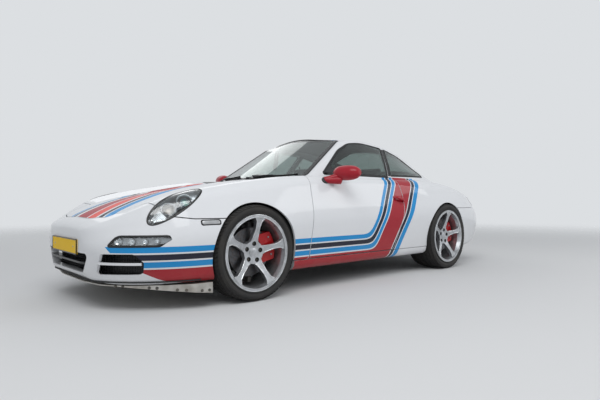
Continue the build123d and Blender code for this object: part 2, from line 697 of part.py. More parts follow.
def rim_part(width, depth):
    """A cast wheel about the Y axis, face towards +Y: barrel, lips, spokes and a bored hub."""
    half = width / 2
    face = half - depth
    barrel = [
        (BARREL, -half),
        (RIM_LIP, -half),
        (RIM_LIP, 10 - half),
        (RIM_SEAT, 12 - half),
        (RIM_SEAT, half - 12),
        (RIM_LIP, half - 10),
        (RIM_LIP, half),
        (BARREL + 10, half),
        (BARREL, half - 30),
    ]
    # The spokes fill the band between an inner and an outer line of radius and place across
    band = [
        (40, face - 36),
        (90, face - 22),
        (BARREL + 8, half - 36),
        (BARREL + 8, half - 6),
        (150, face + 26),
        (80, face + 4),
        (40, face),
    ]
    with BuildPart() as star:
        with BuildSketch(Plane.XY):
            with BuildLine():
                Polyline(*band, close=True)
            make_face()
        revolve(axis=Axis.Y)
        with BuildSketch(Plane.XZ.offset(-REACH)):
            with PolarLocations(0, SPOKES, start_angle=90 + SPOKE_TURN):
                Polygon(*SPOKE, align=None)
            Circle(HUB_RADIUS)
        extrude(amount=2 * REACH, mode=Mode.INTERSECT)
    with BuildPart() as wheel:
        with BuildSketch(Plane.XY):
            with BuildLine():
                Polyline(*barrel, close=True)
            make_face()
        revolve(axis=Axis.Y)
        add(star)
        with BuildSketch(Plane.XZ.offset(-face)):
            Circle(HUB_RADIUS)
        extrude(amount=HUB_THICK)
        with BuildSketch(Plane.XZ.offset(-(face - SPINDLE_SHORT))):
            Circle(SPINDLE + PLAY)
        extrude(amount=REACH, mode=Mode.SUBTRACT)
        with BuildSketch(Plane.XZ.offset(-(face + HUB_CROWN))):
            with PolarLocations(BOLT_CIRCLE, SPOKES, start_angle=90 + SPOKE_TURN):
                Circle(BOLT_RECESS)
        extrude(amount=HUB_CROWN + BOLT_DEEP, mode=Mode.SUBTRACT)
    return wheel.part


def disc_part(width, depth):
    """A brake disc with its hat, behind the hub of its wheel."""
    face = width / 2 - depth
    with BuildPart() as disc:
        with BuildSketch(Plane.XZ.offset(-(face - HUB_THICK))):
            Circle(HUB_RADIUS)
        extrude(amount=DISC_HAT)
        with BuildSketch(Plane.XZ.offset(-(face - HUB_THICK - DISC_HAT))):
            Circle(DISC_RADIUS)
        extrude(amount=DISC_THICK)
        with BuildSketch(Plane.XZ.offset(-face)):
            Circle(SPINDLE + PLAY)
        extrude(amount=REACH, mode=Mode.SUBTRACT)
    return disc.part


def caliper_part(width, depth, turn):
    """A caliper over the disc's edge, turned about the axle from straight behind it."""
    outer_face = width / 2 - depth - HUB_THICK - DISC_HAT
    with BuildPart() as caliper:
        with BuildSketch(Plane.XZ.offset(-(outer_face + CALIPER_OUT))):
            Circle(CALIPER_RADIUS)
            Circle(CALIPER_INNER, mode=Mode.SUBTRACT)
            with Locations((-CALIPER_RADIUS / 2 - CALIPER_START, 0)):
                Rectangle(CALIPER_RADIUS, CALIPER_SPAN, mode=Mode.INTERSECT)
        extrude(amount=CALIPER_OUT + DISC_THICK + CALIPER_IN)
        with BuildSketch(Plane.XZ.offset(-(outer_face + RUNNING))):
            Circle(DISC_RADIUS + RUNNING)
        extrude(amount=DISC_THICK + 2 * RUNNING, mode=Mode.SUBTRACT)
    return caliper.part.rotate(Axis.Y, turn)


def knuckle_part(width, depth):
    """A front upright with its spindle, the eyes above and below the disc, and a caliper bracket."""
    face = width / 2 - depth
    back = face - HUB_THICK - DISC_HAT - DISC_THICK - RUNNING - 1
    with BuildPart() as knuckle:
        add(block((-38, 38), (back - 22, back), (-EYE_HEIGHT - 12, EYE_HEIGHT + 12)))
        for side in (1, -1):
            low, high = sorted((side * (EYE_HEIGHT - 2), side * (EYE_HEIGHT + 12)))
            add(block((-14, 14), (back - 1, 14), (low, high)))
        add(block((-140, -30), (back - 31, back - 17), (-26, 26)))
        with BuildSketch(Plane.XY.offset(-REACH)):
            Circle(PIN + PLAY)
        extrude(amount=2 * REACH, mode=Mode.SUBTRACT)
        with BuildSketch(Plane.XZ.offset(-(face - SPINDLE_SHORT - 1))):
            Circle(SPINDLE)
        extrude(amount=face - SPINDLE_SHORT - 1 - (back - 10))
    return knuckle.part


# Columns: body side, then x, half track, tyre radius, tyre width, rim width, depth of the face
CORNERS = [
    ("front", "left", FRONT_AXLE, KINGPIN_Y, HUB_HEIGHT, 235, 222, 53),
    ("front", "right", FRONT_AXLE, -KINGPIN_Y, HUB_HEIGHT, 235, 222, 53),
    ("rear", "left", REAR_AXLE, REAR_HALF_TRACK, REAR_HUB, 285, 280, 56),
    ("rear", "right", REAR_AXLE, -REAR_HALF_TRACK, REAR_HUB, 285, 280, 56),
]
wheel_parts = []
rear_caliper_solids = []
for end, side, x, y, radius, width, rim_width, depth in CORNERS:
    hub = (x, y, radius)
    pieces = [
        ("tyre", tyre_part(radius, width)),
        ("rim", rim_part(rim_width, depth)),
        ("disc", disc_part(rim_width, depth)),
    ]
    if end == "front":
        pieces.append(("caliper", caliper_part(rim_width, depth, CALIPER_TURN)))
        pieces.append(("knuckle", knuckle_part(rim_width, depth)))
    else:
        pieces.append(("rear_caliper", caliper_part(rim_width, depth, CALIPER_TURN)))
    for name, shape in pieces:
        if y < 0:
            shape = shape.mirror(Plane.XZ)
        shape = shape.moved(Location(hub))
        if name == "rear_caliper":
            rear_caliper_solids.append(shape)
            continue
        shape.label = f"{name}_{side}" if name in ("caliper", "knuckle") else f"{name}_{end}_{side}"
        wheel_parts.append(shape)

with BuildPart() as rear_calipers:
    add(rear_caliper_solids)
rear_calipers.part.label = "rear_calipers"

with BuildPart() as front_suspension:
    along = (FRONT_AXLE - ARM_HALF, FRONT_AXLE + ARM_HALF)
    for up in (1, -1):
        arm = HUB_HEIGHT + up * ARM_LEVEL
        eye = HUB_HEIGHT + up * (EYE_HEIGHT + EYE_ABOVE)
        low, high = sorted((arm - up * ARM_THICK, eye + up * EYE_THICK))
        add(block(along, (ARM_INNER[up], ARM_OUTER), (arm - ARM_THICK, arm + ARM_THICK)))
        add(block(along, (ARM_OUTER - ARM_END, ARM_OUTER), (low, high)))
        add(block(along, (ARM_OUTER - ARM_END, KINGPIN_Y + 12), (eye - EYE_THICK, eye + EYE_THICK)))
        pin_end = HUB_HEIGHT + up * (EYE_HEIGHT - 4)
        add(rod((FRONT_AXLE, KINGPIN_Y, eye), (FRONT_AXLE, KINGPIN_Y, pin_end), PIN))
    add(rod((FRONT_AXLE, STRUT_Y, 186), (FRONT_AXLE, STRUT_Y, STRUT_TOP), 26))
    add(rod((FRONT_AXLE, STRUT_Y, 470), (FRONT_AXLE, STRUT_Y, STRUT_TOP), 50))
    mirror(about=Plane.XZ)
    add(rod((RACK_X, -RACK_HALF, RACK_Z), (RACK_X, RACK_HALF, RACK_Z), RACK_RADIUS))
    add(block((RACK_X - 30, RACK_X + 30), (-RAIL_INNER, RAIL_INNER), (210, 220)))
front_suspension.part.label = "front_suspension"

with BuildPart() as rear_suspension:
    rear_face = REAR_HALF_TRACK + 140 - 56
    back = rear_face - HUB_THICK - DISC_HAT - DISC_THICK - RUNNING - 1
    inside = back - 20
    add(block((REAR_AXLE - 45, REAR_AXLE + 45), (back - 28, back), (204, 450)))
    add(block((REAR_AXLE - 140, REAR_AXLE - 30), (back - 31, back - 17), (298, 350)))
    spindle_end = rear_face - SPINDLE_SHORT - 1
    add(rod((REAR_AXLE, back - 28, REAR_HUB), (REAR_AXLE, spindle_end, REAR_HUB), SPINDLE))
    add(block((REAR_AXLE - 30, REAR_AXLE + 30), (471, inside), (214, 238)))
    add(block((REAR_AXLE - 60, REAR_AXLE + 60), (440, 474), (204, REAR_RAIL_LOW)))
    link_x = REAR_AXLE + 20
    add(rod((link_x, 471, UPPER_LINK), (link_x, inside, UPPER_LINK), 14))
    add(block((link_x - 15, link_x + 15), (REAR_RAIL_OUTER, 475), (UPPER_LINK - 15, UPPER_LINK + 15)))
    add(rod((REAR_AXLE, 152, REAR_HUB), (REAR_AXLE, inside, REAR_HUB), 20))
    add(rod((REAR_AXLE - 24, 572, 232), (REAR_AXLE - 70, 572, 640), 24))
    mirror(about=Plane.XZ)
rear_suspension.part.label = "rear_suspension"

with BuildPart() as engine:
    add(block((-1850, -1262), (-330, 330), (230, 620), 60))
    add(block((-1300, -800), (-140, 140), (215, 410), 50))
engine.part.label = "engine"

with BuildPart() as exhaust:
    for y in PIPE_Y:
        add(rod((-1990, y, PIPE_Z), (-2176, y, PIPE_Z), PIPE_RADIUS))
        add(rod((-2050, y, PIPE_Z), (-2177, y, PIPE_Z), PIPE_BORE), mode=Mode.SUBTRACT)
    add(block((-2010, -1890), (350, 600), (SILENCER_LOW, SILENCER_TOP), 40))
    mirror(about=Plane.XZ)
exhaust.part.label = "exhaust"

with BuildPart() as skid_plate:
    rim_line = both_sides(SKID_EDGE)
    with BuildSketch(Plane.XY.offset(SKID_LOW)):
        Polygon(*rim_line, align=None)
    extrude(amount=SKID_HIGH - SKID_LOW)
    with BuildSketch(Plane.XY.offset(SKID_LOW)):
        Polygon(*rim_line, align=None)
        offset(amount=-SKID_THICK, kind=Kind.INTERSECTION)
    extrude(amount=SKID_HIGH - SKID_LOW - SKID_THICK, mode=Mode.SUBTRACT)
    add(side_prism(SKID_CUT, [SKID_CUT_RADIUS] * len(SKID_CUT)), mode=Mode.SUBTRACT)
skid_plate.part.label = "skid_plate"

with BuildPart() as dashboard:
    dash = [(732, 570), (738, 798), (560, 824), (440, 796), (398, 700), (470, 600)]
    add(prism(Plane.XZ.offset(-700), dash, [20, 20, 60, 40, 30, 40], 0, 1400))
    add(block((-330, 470), (-98, 98), (352, 420), 20))
    add(rod((560, -370, WHEEL_Z - 298 * tan(COLUMN_TILT)), COLUMN_END, 32))
dashboard.part.label = "dashboard"

with BuildPart() as steering_wheel:
    plane = Plane(origin=STEERING_CENTRE, z_dir=COLUMN_AXIS)
    with BuildSketch(Plane(origin=STEERING_CENTRE, x_dir=COLUMN_AXIS, z_dir=(0, 1, 0))):
        with Locations((0, STEERING_RADIUS)):
            Circle(14)
    revolve(axis=Axis(STEERING_CENTRE, COLUMN_AXIS))
    with BuildSketch(plane.offset(-8)):
        Circle(52)
        with PolarLocations(0, 3, start_angle=-90):
            with Locations((STEERING_RADIUS / 2, 0)):
                Rectangle(STEERING_RADIUS, 34)
    extrude(amount=14)
    with BuildSketch(plane.offset(-40)):
        Circle(38)
    extrude(amount=40)
steering_wheel.part.label = "steering_wheel"


def bucket_seat(y):
    """A front seat: cushion, raised side bolsters, reclined back with wings, and its rails."""
    cushion = [(150, 250), (165, 345), (120, 362), (-230, 322), (-250, 250)]
    back = [(-215, 262), (-185, 330), (-395, 900), (-400, 1010), (-480, 1010), (-500, 900), (-330, 262)]
    wing = [(-190, 300), (-110, 400), (-290, 800), (-370, 860), (-470, 820), (-330, 300)]
    side = [(140, 255), (150, 385), (60, 402), (-190, 380), (-280, 300), (-260, 255)]
    with BuildPart() as seat:
        add(prism(Plane.XZ.offset(-(y + 190)), cushion, [20, 25, 60, 20, 20], 0, 380))
        add(prism(Plane.XZ.offset(-(y + 170)), back, [20, 40, 200, 40, 40, 200, 20], 0, 340))
        for middle in (y - 205, y + 205):
            add(prism(Plane.XZ.offset(-(middle + 35)), side, [20, 20, 60, 60, 20, 20], 0, 70))
            add(prism(Plane.XZ.offset(-(middle + 35)), wing, [10, 60, 60, 30, 60, 10], 0, 70))
            add(block((-180, 100), (middle - 12, middle + 12), (197, 260)))
    return seat.part


with BuildPart() as seats:
    for y in (370, -370):
        add(bucket_seat(y))
        rear_back_line = [(-930, 433), (-960, 500), (-1080, 800), (-1160, 800), (-1120, 433)]
        add(prism(Plane.XZ.offset(-(y * 0.8 + 165)), rear_back_line, [10, 60, 30, 30, 10], 0, 330))
        add(block((-925, -690), (y * 0.8 - 165, y * 0.8 + 165), (433, 500), 40))
seats.part.label = "seats"


fixed = [
    front_fenders, front_bumper, bumper_grilles, headlamps, bumper_lamps, body_sides, cowl, sills, roof,
    windscreen, rear_window, quarter_glass, tail_lamps, rear_bumper, plates, floor_pan, bulkhead,
    front_tub, rear_tub, arch_liners, skid_plate, dashboard, seats, engine, exhaust,
    front_suspension, rear_suspension, rear_calipers,
]
moving = [front_lid, engine_lid, steering_wheel]
os.makedirs("parts", exist_ok=True)
for piece in [node.part for node in fixed + moving] + door_parts + wheel_parts:
    export_step(piece, f"parts/{piece.label}.step")
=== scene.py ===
"""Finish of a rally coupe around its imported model, laid out as a Blender add-on and run as a script."""

import json
from math import cos, pi, radians, sin, tau

import bmesh
import bpy
import numpy as np
from mathutils import Matrix, Vector
from mathutils.bvhtree import BVHTree

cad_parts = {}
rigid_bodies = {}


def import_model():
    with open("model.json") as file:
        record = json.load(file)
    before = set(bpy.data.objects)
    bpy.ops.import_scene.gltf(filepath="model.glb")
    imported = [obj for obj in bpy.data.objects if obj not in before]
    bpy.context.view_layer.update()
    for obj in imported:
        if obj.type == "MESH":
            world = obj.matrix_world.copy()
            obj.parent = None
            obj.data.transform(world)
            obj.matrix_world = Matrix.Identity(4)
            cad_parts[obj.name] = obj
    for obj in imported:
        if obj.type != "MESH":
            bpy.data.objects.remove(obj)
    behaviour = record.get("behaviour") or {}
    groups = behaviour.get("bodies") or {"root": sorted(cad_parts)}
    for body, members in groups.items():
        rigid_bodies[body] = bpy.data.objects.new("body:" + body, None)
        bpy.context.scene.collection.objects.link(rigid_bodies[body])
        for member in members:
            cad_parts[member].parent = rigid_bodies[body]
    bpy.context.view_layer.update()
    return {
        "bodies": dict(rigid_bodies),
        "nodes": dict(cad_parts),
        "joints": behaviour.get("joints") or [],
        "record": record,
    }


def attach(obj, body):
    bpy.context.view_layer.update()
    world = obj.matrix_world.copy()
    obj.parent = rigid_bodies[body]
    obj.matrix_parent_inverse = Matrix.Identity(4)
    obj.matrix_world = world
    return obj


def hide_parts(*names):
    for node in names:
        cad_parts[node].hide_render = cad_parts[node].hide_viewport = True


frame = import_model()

bl_info = {
    "name": "Rally Coupe Finish", "version": (1, 0, 0), "blender": (4, 5, 0),
    "location": "3D View > Sidebar > Rally Coupe",
    "description": "Paint, glass, lamps, tyres, trim and seats for the rally coupe", "category": "Object"}

NODES = frame["nodes"]
SIDES = (("left", 1), ("right", -1))


# Sizes and colours that a user would change


class CoupeColours(bpy.types.PropertyGroup):
    white: bpy.props.StringProperty(name="White", description="Body paint, sRGB hex", default="DDDFE2")
    red: bpy.props.StringProperty(name="Red", description="Red film and mirrors, sRGB hex", default="A01627")
    navy: bpy.props.StringProperty(name="Navy", description="Dark blue film, sRGB hex", default="08112A")
    sky: bpy.props.StringProperty(name="Sky blue", description="Light blue film, sRGB hex", default="068ACB")
    coral: bpy.props.StringProperty(
        name="Coral", description="Pale red film on the front lid, sRGB hex", default="DE4436")
    yellow: bpy.props.StringProperty(
        name="Plate yellow", description="Blank plates, sRGB hex", default="EDC000")
    wheel: bpy.props.StringProperty(
        name="Wheel silver", description="Wheel paint, sRGB hex", default="C2C5C9")
    caliper: bpy.props.StringProperty(
        name="Caliper red", description="Brake calipers, sRGB hex", default="B3121B")
    seat: bpy.props.StringProperty(name="Seat cloth", description="Seat fabric, sRGB hex", default="2B2D31")


class CoupeSizes(bpy.types.PropertyGroup):
    band: bpy.props.FloatProperty(
        name="Band", description="Width of a coloured band", default=0.036, unit="LENGTH")
    pinstripe: bpy.props.FloatProperty(
        name="Gap", description="White gap between bands", default=0.009, unit="LENGTH")
    seal: bpy.props.FloatProperty(
        name="Seal", description="Width of a window seal", default=0.016, unit="LENGTH")
    tread: bpy.props.FloatProperty(
        name="Tread", description="Depth of the tyre tread", default=0.007, unit="LENGTH")
    bolt: bpy.props.FloatProperty(
        name="Plate bolt", description="Head of a skid plate bolt", default=0.013, unit="LENGTH")


class CoupeStage(bpy.types.PropertyGroup):
    key: bpy.props.FloatProperty(
        name="Key lamp", description="Power of the main soft lamp", default=180, unit="POWER")
    fill: bpy.props.FloatProperty(
        name="Fill lamp", description="Power of the side soft lamp", default=80, unit="POWER")
    sky: bpy.props.FloatProperty(name="Sky level", description="Strength of the even light", default=0.5)
    floor: bpy.props.StringProperty(name="Floor", description="Floor colour, sRGB hex", default="D5D6D7")


def colours():
    return bpy.context.scene.coupe_colours


def sizes():
    return bpy.context.scene.coupe_sizes


# Nodes, materials and meshes


def linear(code):
    """Linear RGBA from an sRGB hex value."""
    parts = [int(code[i : i + 2], 16) / 255 for i in (0, 2, 4)]
    return (*[p / 12.92 if p <= 0.04045 else ((p + 0.055) / 1.055) ** 2.4 for p in parts], 1)


def add(tree, kind, settings=None, into=None, **inputs):
    """Adds one node with its settings and inputs. An input is a value, another node's output, or a
    node, which stands for its first output. The new node's first output is linked into a socket."""
    node = tree.nodes.new(kind if "Node" in kind else "ShaderNode" + kind)
    for name, value in (settings or {}).items():
        setattr(node, name, value)
    for name, value in inputs.items():
        key = int(name[1:]) if name[0] == "n" and name[1:].isdigit() else name.replace("_", " ")
        if isinstance(value, bpy.types.Node):
            value = value.outputs[0]
        if isinstance(value, bpy.types.NodeSocket):
            tree.links.new(value, node.inputs[key])
        else:
            node.inputs[key].default_value = value
    if into:
        tree.links.new(node.outputs[0], into)
    return node


def stops(ramp, colour_stops):
    """Fills a ramp with (place, colour) stops."""
    elements = ramp.color_ramp.elements
    while len(elements) > 1:
        elements.remove(elements[-1])
    elements[0].position, elements[0].color = colour_stops[0]
    for place, colour in colour_stops[1:]:
        elements.new(place).color = colour
    return ramp.outputs["Color"]


def new_material(name, colour, **settings):
    """A material with one Principled shader. Settings are its sockets by name."""
    material = bpy.data.materials.new(name)
    material.use_nodes = True
    tree = material.node_tree
    shader = tree.nodes["Principled BSDF"]
    shader.inputs["Base Color"].default_value = linear(colour)
    for socket, value in settings.items():
        shader.inputs[socket.replace("_", " ")].default_value = value
    material.diffuse_color = linear(colour)
    return material, tree, shader


def place(tree):
    """The Object coordinates of a material."""
    return add(tree, "TexCoord").outputs["Object"]


def tint(tree, shader, factor, low, high, first, second):
    """Colour variation: from the first to the second colour as the factor goes from low to high."""
    ramp = add(tree, "ValToRGB", Fac=factor)
    tree.links.new(stops(ramp, [(low, linear(first)), (high, linear(second))]), shader.inputs["Base Color"])


def paint(obj, material):
    """One material on every slot of a CAD node or piece."""
    if not obj.material_slots:
        obj.data.materials.append(material)
    for slot in obj.material_slots:
        slot.material = material


def mesh_of(name, part):
    """A plain mesh from (points, faces)."""
    mesh = bpy.data.meshes.new(name)
    mesh.from_pydata([tuple(p) for p in part[0]], [], [tuple(f) for f in part[1]])
    return mesh


def linked(name, mesh):
    """A new object in the scene."""
    obj = bpy.data.objects.new(name, mesh)
    bpy.context.scene.collection.objects.link(obj)
    return obj


def new_piece(name, part, finish, body, smooth=40.0):
    """A mesh object in the row frame that rides on a body. Edges over smooth degrees stay sharp."""
    return finished(name, mesh_of(name, part), finish, body, smooth)


def pair(stem, part, finish, body, smooth=40.0):
    """A piece of the left side and its mirror. A star in the body's name stands for the side."""
    for name, side in SIDES:
        new_piece(
            f"{stem}_{name}", part if side > 0 else mirrored(part), finish, body.replace("*", name),
            smooth)


def finished(name, mesh, finish, body, smooth=40.0):
    """An object from a mesh: doubles merged, faces outwards, sharp edges kept, riding on a body."""
    work = bmesh.new()
    work.from_mesh(mesh)
    bmesh.ops.remove_doubles(work, verts=work.verts, dist=1e-6)
    bmesh.ops.dissolve_degenerate(work, dist=1e-7, edges=work.edges)
    bmesh.ops.recalc_face_normals(work, faces=work.faces)
    work.to_mesh(mesh)
    work.free()
    obj = linked(name, mesh)
    mesh.shade_smooth()
    mesh.set_sharp_from_angle(angle=radians(smooth))
    mesh.materials.clear()
    mesh.materials.append(finish_for(finish))
    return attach(obj, body)


def merged(parts):
    """Points and faces of several (points, faces) lists as one."""
    points, faces = [], []
    for part_points, part_faces in parts:
        start = len(points)
        points.extend(part_points)
        faces.extend([i + start for i in face] for face in part_faces)
    return points, faces


def mirrored(part):
    """A part's mirror on the other side of the car."""
    points, faces = part
    return [Vector((p[0], -p[1], p[2])) for p in points], [list(reversed(face)) for face in faces]


def lathe(profile, centre, steps=96, axis="Y", closed=True):
    """A turned shape: profile is (radius, place along the axis)."""
    points, faces, count = [], [], len(profile)
    for i in range(steps):
        turn = tau * i / steps
        for radius, along in profile:
            ring = (radius * cos(turn), radius * sin(turn))
            local = {"Y": (ring[0], along, ring[1]), "X": (along, *ring), "Z": (*ring, along)}[axis]
            points.append(Vector(centre) + Vector(local))
    for i in range(steps):
        j = (i + 1) % steps
        for k in range(count if closed else count - 1):
            n = (k + 1) % count
            faces.append([i * count + k, i * count + n, j * count + n, j * count + k])
    return points, faces


def turned(part, matrix):
    points, faces = part
    return [matrix @ Vector(p) for p in points], faces


def spun(profile, frame, steps=40):
    """A shape turned about a frame's Z, whose profile starts and ends near that axis."""
    return turned(lathe(profile, (0, 0, 0), steps, "Z", False), frame)


def frame_at(origin, along, up):
    """A matrix with local X along a direction and local Z as near up as it can be."""
    x = Vector(along).normalized()
    y = Vector(up).cross(x).normalized()
    z = x.cross(y)
    matrix = Matrix((x, y, z)).transposed().to_4x4()
    matrix.translation = Vector(origin)
    return matrix


def sweep(path, section, closed=False, ups=None):
    """A section of (across, up) points carried along a path, with caps on an open one."""
    points, faces, count, width = [], [], len(path), len(section)
    for i, point in enumerate(path):
        before = path[i - 1] if (i or closed) else point
        after = path[(i + 1) % count] if (i < count - 1 or closed) else point
        run = (Vector(after) - Vector(before)).normalized()
        up = Vector(ups[i]) if ups else Vector((0, 0, 1))
        across = run.cross(up).normalized()
        rise = across.cross(run)
        for a, u in section:
            points.append(Vector(point) + across * a + rise * u)
    for i in range(count if closed else count - 1):
        j = (i + 1) % count
        for k in range(width):
            n = (k + 1) % width
            faces.append([i * width + k, i * width + n, j * width + n, j * width + k])
    if not closed:
        faces.append(list(range(width))[::-1])
        faces.append(list(range((count - 1) * width, count * width)))
    return points, faces


def oval(wide, high, count=40):
    return [(wide * cos(tau * i / count), high * sin(tau * i / count)) for i in range(count)]


def ring(radius, count=12, squash=1.0):
    return oval(radius, radius * squash, count)


def rounded_box(size, radius, matrix, steps=3):
    """A box with rounded edges, its middle at the matrix's origin."""
    work = bmesh.new()
    bmesh.ops.create_cube(work, size=1)
    bmesh.ops.scale(work, vec=size, verts=work.verts)
    bmesh.ops.bevel(work, geom=list(work.edges), offset=radius, segments=steps, profile=0.5, affect="EDGES")
    points = [matrix @ v.co for v in work.verts]
    faces = [[v.index for v in f.verts] for f in work.faces]
    work.free()
    return points, faces


def skin_of(*names):
    """A tree of the CAD nodes' surfaces, for finding where a piece sits."""
    points, faces = [], []
    for name in names:
        mesh, start = NODES[name].data, len(points)
        points.extend(v.co.copy() for v in mesh.vertices)
        faces.extend([i + start for i in p.vertices] for p in mesh.polygons)
    return BVHTree.FromPolygons(points, faces)


def rounded_outline(half_x, half_y, radius, steps=5):
    """A rectangle with rounded corners as (x, y) points, counter-clockwise."""
    points = []
    for cx, cy, start in ((1, 1, 0), (-1, 1, 90), (-1, -1, 180), (1, -1, 270)):
        for i in range(steps + 1):
            turn = radians(start + 90 * i / steps)
            points.append(
                (cx * (half_x - radius) + radius * cos(turn), cy * (half_y - radius) + radius * sin(turn)))
    return points


def pad_on(skin, origin, towards, along, outline, rings, sink=0.004):
    """A pad that follows a skin: outline points pushed along towards onto it, then rings of
    (scale, height over the skin) up to its middle, and a sunk edge below."""
    towards = Vector(towards).normalized()
    along = (Vector(along) - towards * Vector(along).dot(towards)).normalized()
    across = towards.cross(along)
    count, points, faces = len(outline), [], []

    def landed(x, y, height):
        start = Vector(origin) + along * x + across * y - towards * 0.3
        hit, normal, _, _ = skin.ray_cast(start, towards, 0.8)
        if hit is None:
            hit, normal = Vector(origin) + along * x + across * y, -towards
        if normal.dot(towards) > 0:
            normal = -normal
        return hit + normal * height

    for scale, height in [(1.0, -sink)] + list(rings):
        points.extend(landed(x * scale, y * scale, height) for x, y in outline)
    for level in range(len(rings)):
        a, b = level * count, (level + 1) * count
        faces.extend([a + i, a + (i + 1) % count, b + (i + 1) % count, b + i] for i in range(count))
    points.append(landed(0, 0, rings[-1][1]))
    top = len(rings) * count
    faces.extend([top + i, top + (i + 1) % count, len(points) - 1] for i in range(count))
    points.append(landed(0, 0, -sink))
    faces.extend([(i + 1) % count, i, len(points) - 1] for i in range(count))
    return points, faces


def both_ways(aim):
    """A direction for the left side of the car, and its mirror for the right."""
    aim = aim.normalized()
    return lambda p: aim if p.y > 0 else Vector((aim.x, -aim.y, aim.z))


def outer_faces(node, outwards):
    """The faces of a thin CAD node that look outwards, as one welded mesh for each solid."""
    work = bmesh.new()
    work.from_mesh(NODES[node].data)
    bmesh.ops.remove_doubles(work, verts=work.verts, dist=2e-5)
    bmesh.ops.dissolve_degenerate(work, dist=1e-6, edges=work.edges)
    work.normal_update()
    keep = [f for f in work.faces if f.normal.dot(outwards(f.calc_center_median())) > 0.45]
    bmesh.ops.delete(work, geom=[f for f in work.faces if f not in set(keep)], context="FACES")
    return work


def border_loops(work):
    """The closed border runs of an open mesh, each as (points, normals, ways into the face)."""
    following = {}
    for edge in work.edges:
        if len(edge.link_loops) == 1:
            loop = edge.link_loops[0]
            following.setdefault(loop.vert, []).append(loop.link_loop_next.vert)
    loops = []
    while following:
        first = next(iter(following))
        run, vert = [], first
        while vert in following:
            nexts = following[vert]
            run.append(vert)
            following_vert = nexts.pop()
            if not nexts:
                del following[vert]
            vert = following_vert
        if vert is first and len(run) > 8:
            loops.append([(v.co.copy(), v.normal.copy()) for v in run])
    return loops


def even_run(loop, step):
    """The same closed run with points a step apart, and its normals smoothed."""
    points = np.array([p for p, _ in loop])
    normals = np.array([n for _, n in loop])
    lengths = np.linalg.norm(np.roll(points, -1, 0) - points, axis=1)
    total = lengths.sum()
    count = max(12, int(round(total / step)))
    at = np.concatenate([[0], np.cumsum(lengths)])
    wanted = np.arange(count) * total / count
    closed = np.vstack([points, points[:1]])
    closed_normals = np.vstack([normals, normals[:1]])
    new_points = np.stack([np.interp(wanted, at, closed[:, k]) for k in range(3)], 1)
    new_normals = np.stack([np.interp(wanted, at, closed_normals[:, k]) for k in range(3)], 1)
    for _ in range(3):
        new_normals = (np.roll(new_normals, 1, 0) + 2 * new_normals + np.roll(new_normals, -1, 0)) / 4
    new_normals /= np.linalg.norm(new_normals, axis=1)[:, None]
    return new_points, new_normals


def border_strip(work, section, step=0.012):
    """A closed strip along every border of a face: section is (distance into it, height over it)."""
    parts, skin = [], BVHTree.FromBMesh(work)

    def over(point, normal, height):
        hit, turned_to, _, _ = skin.find_nearest(point)
        return hit + (turned_to if turned_to.dot(normal) > 0 else -turned_to) * height

    for loop in border_loops(work):
        points, normals = even_run(loop, step)
        count, width = len(points), len(section)
        runs = np.roll(points, -1, 0) - np.roll(points, 1, 0)
        runs /= np.linalg.norm(runs, axis=1)[:, None]
        inward = np.cross(normals, runs)
        inward /= np.linalg.norm(inward, axis=1)[:, None]
        out = []
        for p, n, w in zip(points, normals, inward):
            for a, h in section:
                out.append(over(Vector(p + w * a), Vector(n), h) if a > 0.009 else Vector(p + w * a + n * h))
        faces = []
        for i in range(count):
            j = (i + 1) % count
            for k in range(width):
                m = (k + 1) % width
                faces.append([i * width + k, j * width + k, j * width + m, i * width + m])
        parts.append((out, faces))
    return merged(parts)


def shell_from(work, thickness, lift=0.0):
    """A thin closed shell from outward faces: they are lifted, and thickened inwards."""
    copy = work.copy()
    copy.normal_update()
    for vert in copy.verts:
        vert.co += vert.normal * lift
    bmesh.ops.solidify(copy, geom=list(copy.faces), thickness=thickness)
    mesh = bpy.data.meshes.new("shell")
    copy.to_mesh(mesh)
    copy.free()
    return mesh


# Geometry Nodes for what repeats


def repeating_tree(name, sockets, place_points):
    """A tree that repeats a mesh: Piece, Count, the named vectors and Finish. place_points(tree, start)
    gives the points, the copies' rotation and the whole set's shift."""
    if name in bpy.data.node_groups:
        return bpy.data.node_groups[name]
    tree = bpy.data.node_groups.new(name, "GeometryNodeTree")
    for label, kind in (("Piece", "Geometry"), ("Count", "Int"), *sockets, ("Finish", "Material")):
        tree.interface.new_socket(label, in_out="INPUT", socket_type="NodeSocket" + kind)
    tree.interface.new_socket("Copies", in_out="OUTPUT", socket_type="NodeSocketGeometry")
    start = add(tree, "NodeGroupInput")
    points, turn, shift = place_points(tree, start.outputs)
    copies = add(
        tree, "GeometryNodeInstanceOnPoints", Points=points, Instance=start.outputs["Piece"], Rotation=turn)
    moved = add(tree, "GeometryNodeTransform", Geometry=copies, Translation=shift)
    real = add(tree, "GeometryNodeRealizeInstances", Geometry=moved)
    done = add(tree, "GeometryNodeSetMaterial", Geometry=real, Material=start.outputs["Finish"])
    add(tree, "NodeGroupOutput", Copies=done)
    return tree


def ring_tree():
    """Copies round the Y axis at a centre, the first one unturned."""

    def around(tree, start):
        index = add(tree, "GeometryNodeInputIndex")
        part = add(tree, "Math", {"operation": "DIVIDE"}, n0=index, n1=start["Count"])
        angle = add(tree, "Math", {"operation": "MULTIPLY"}, n0=part, n1=tau)
        spin = add(tree, "CombineXYZ", Y=angle)
        return add(tree, "GeometryNodePoints", Count=start["Count"]), spin.outputs[0], start["Centre"]

    return repeating_tree("Around an axle", [("Centre", "Vector")], around)


def row_tree():
    """Copies in a straight row, a step apart."""

    def in_line(tree, start):
        return add(
            tree, "GeometryNodeMeshLine", Count=start["Count"], Offset=start["Step"]), (0, 0, 0), (0, 0, 0)

    return repeating_tree("In a row", [("Step", "Vector")], in_line)


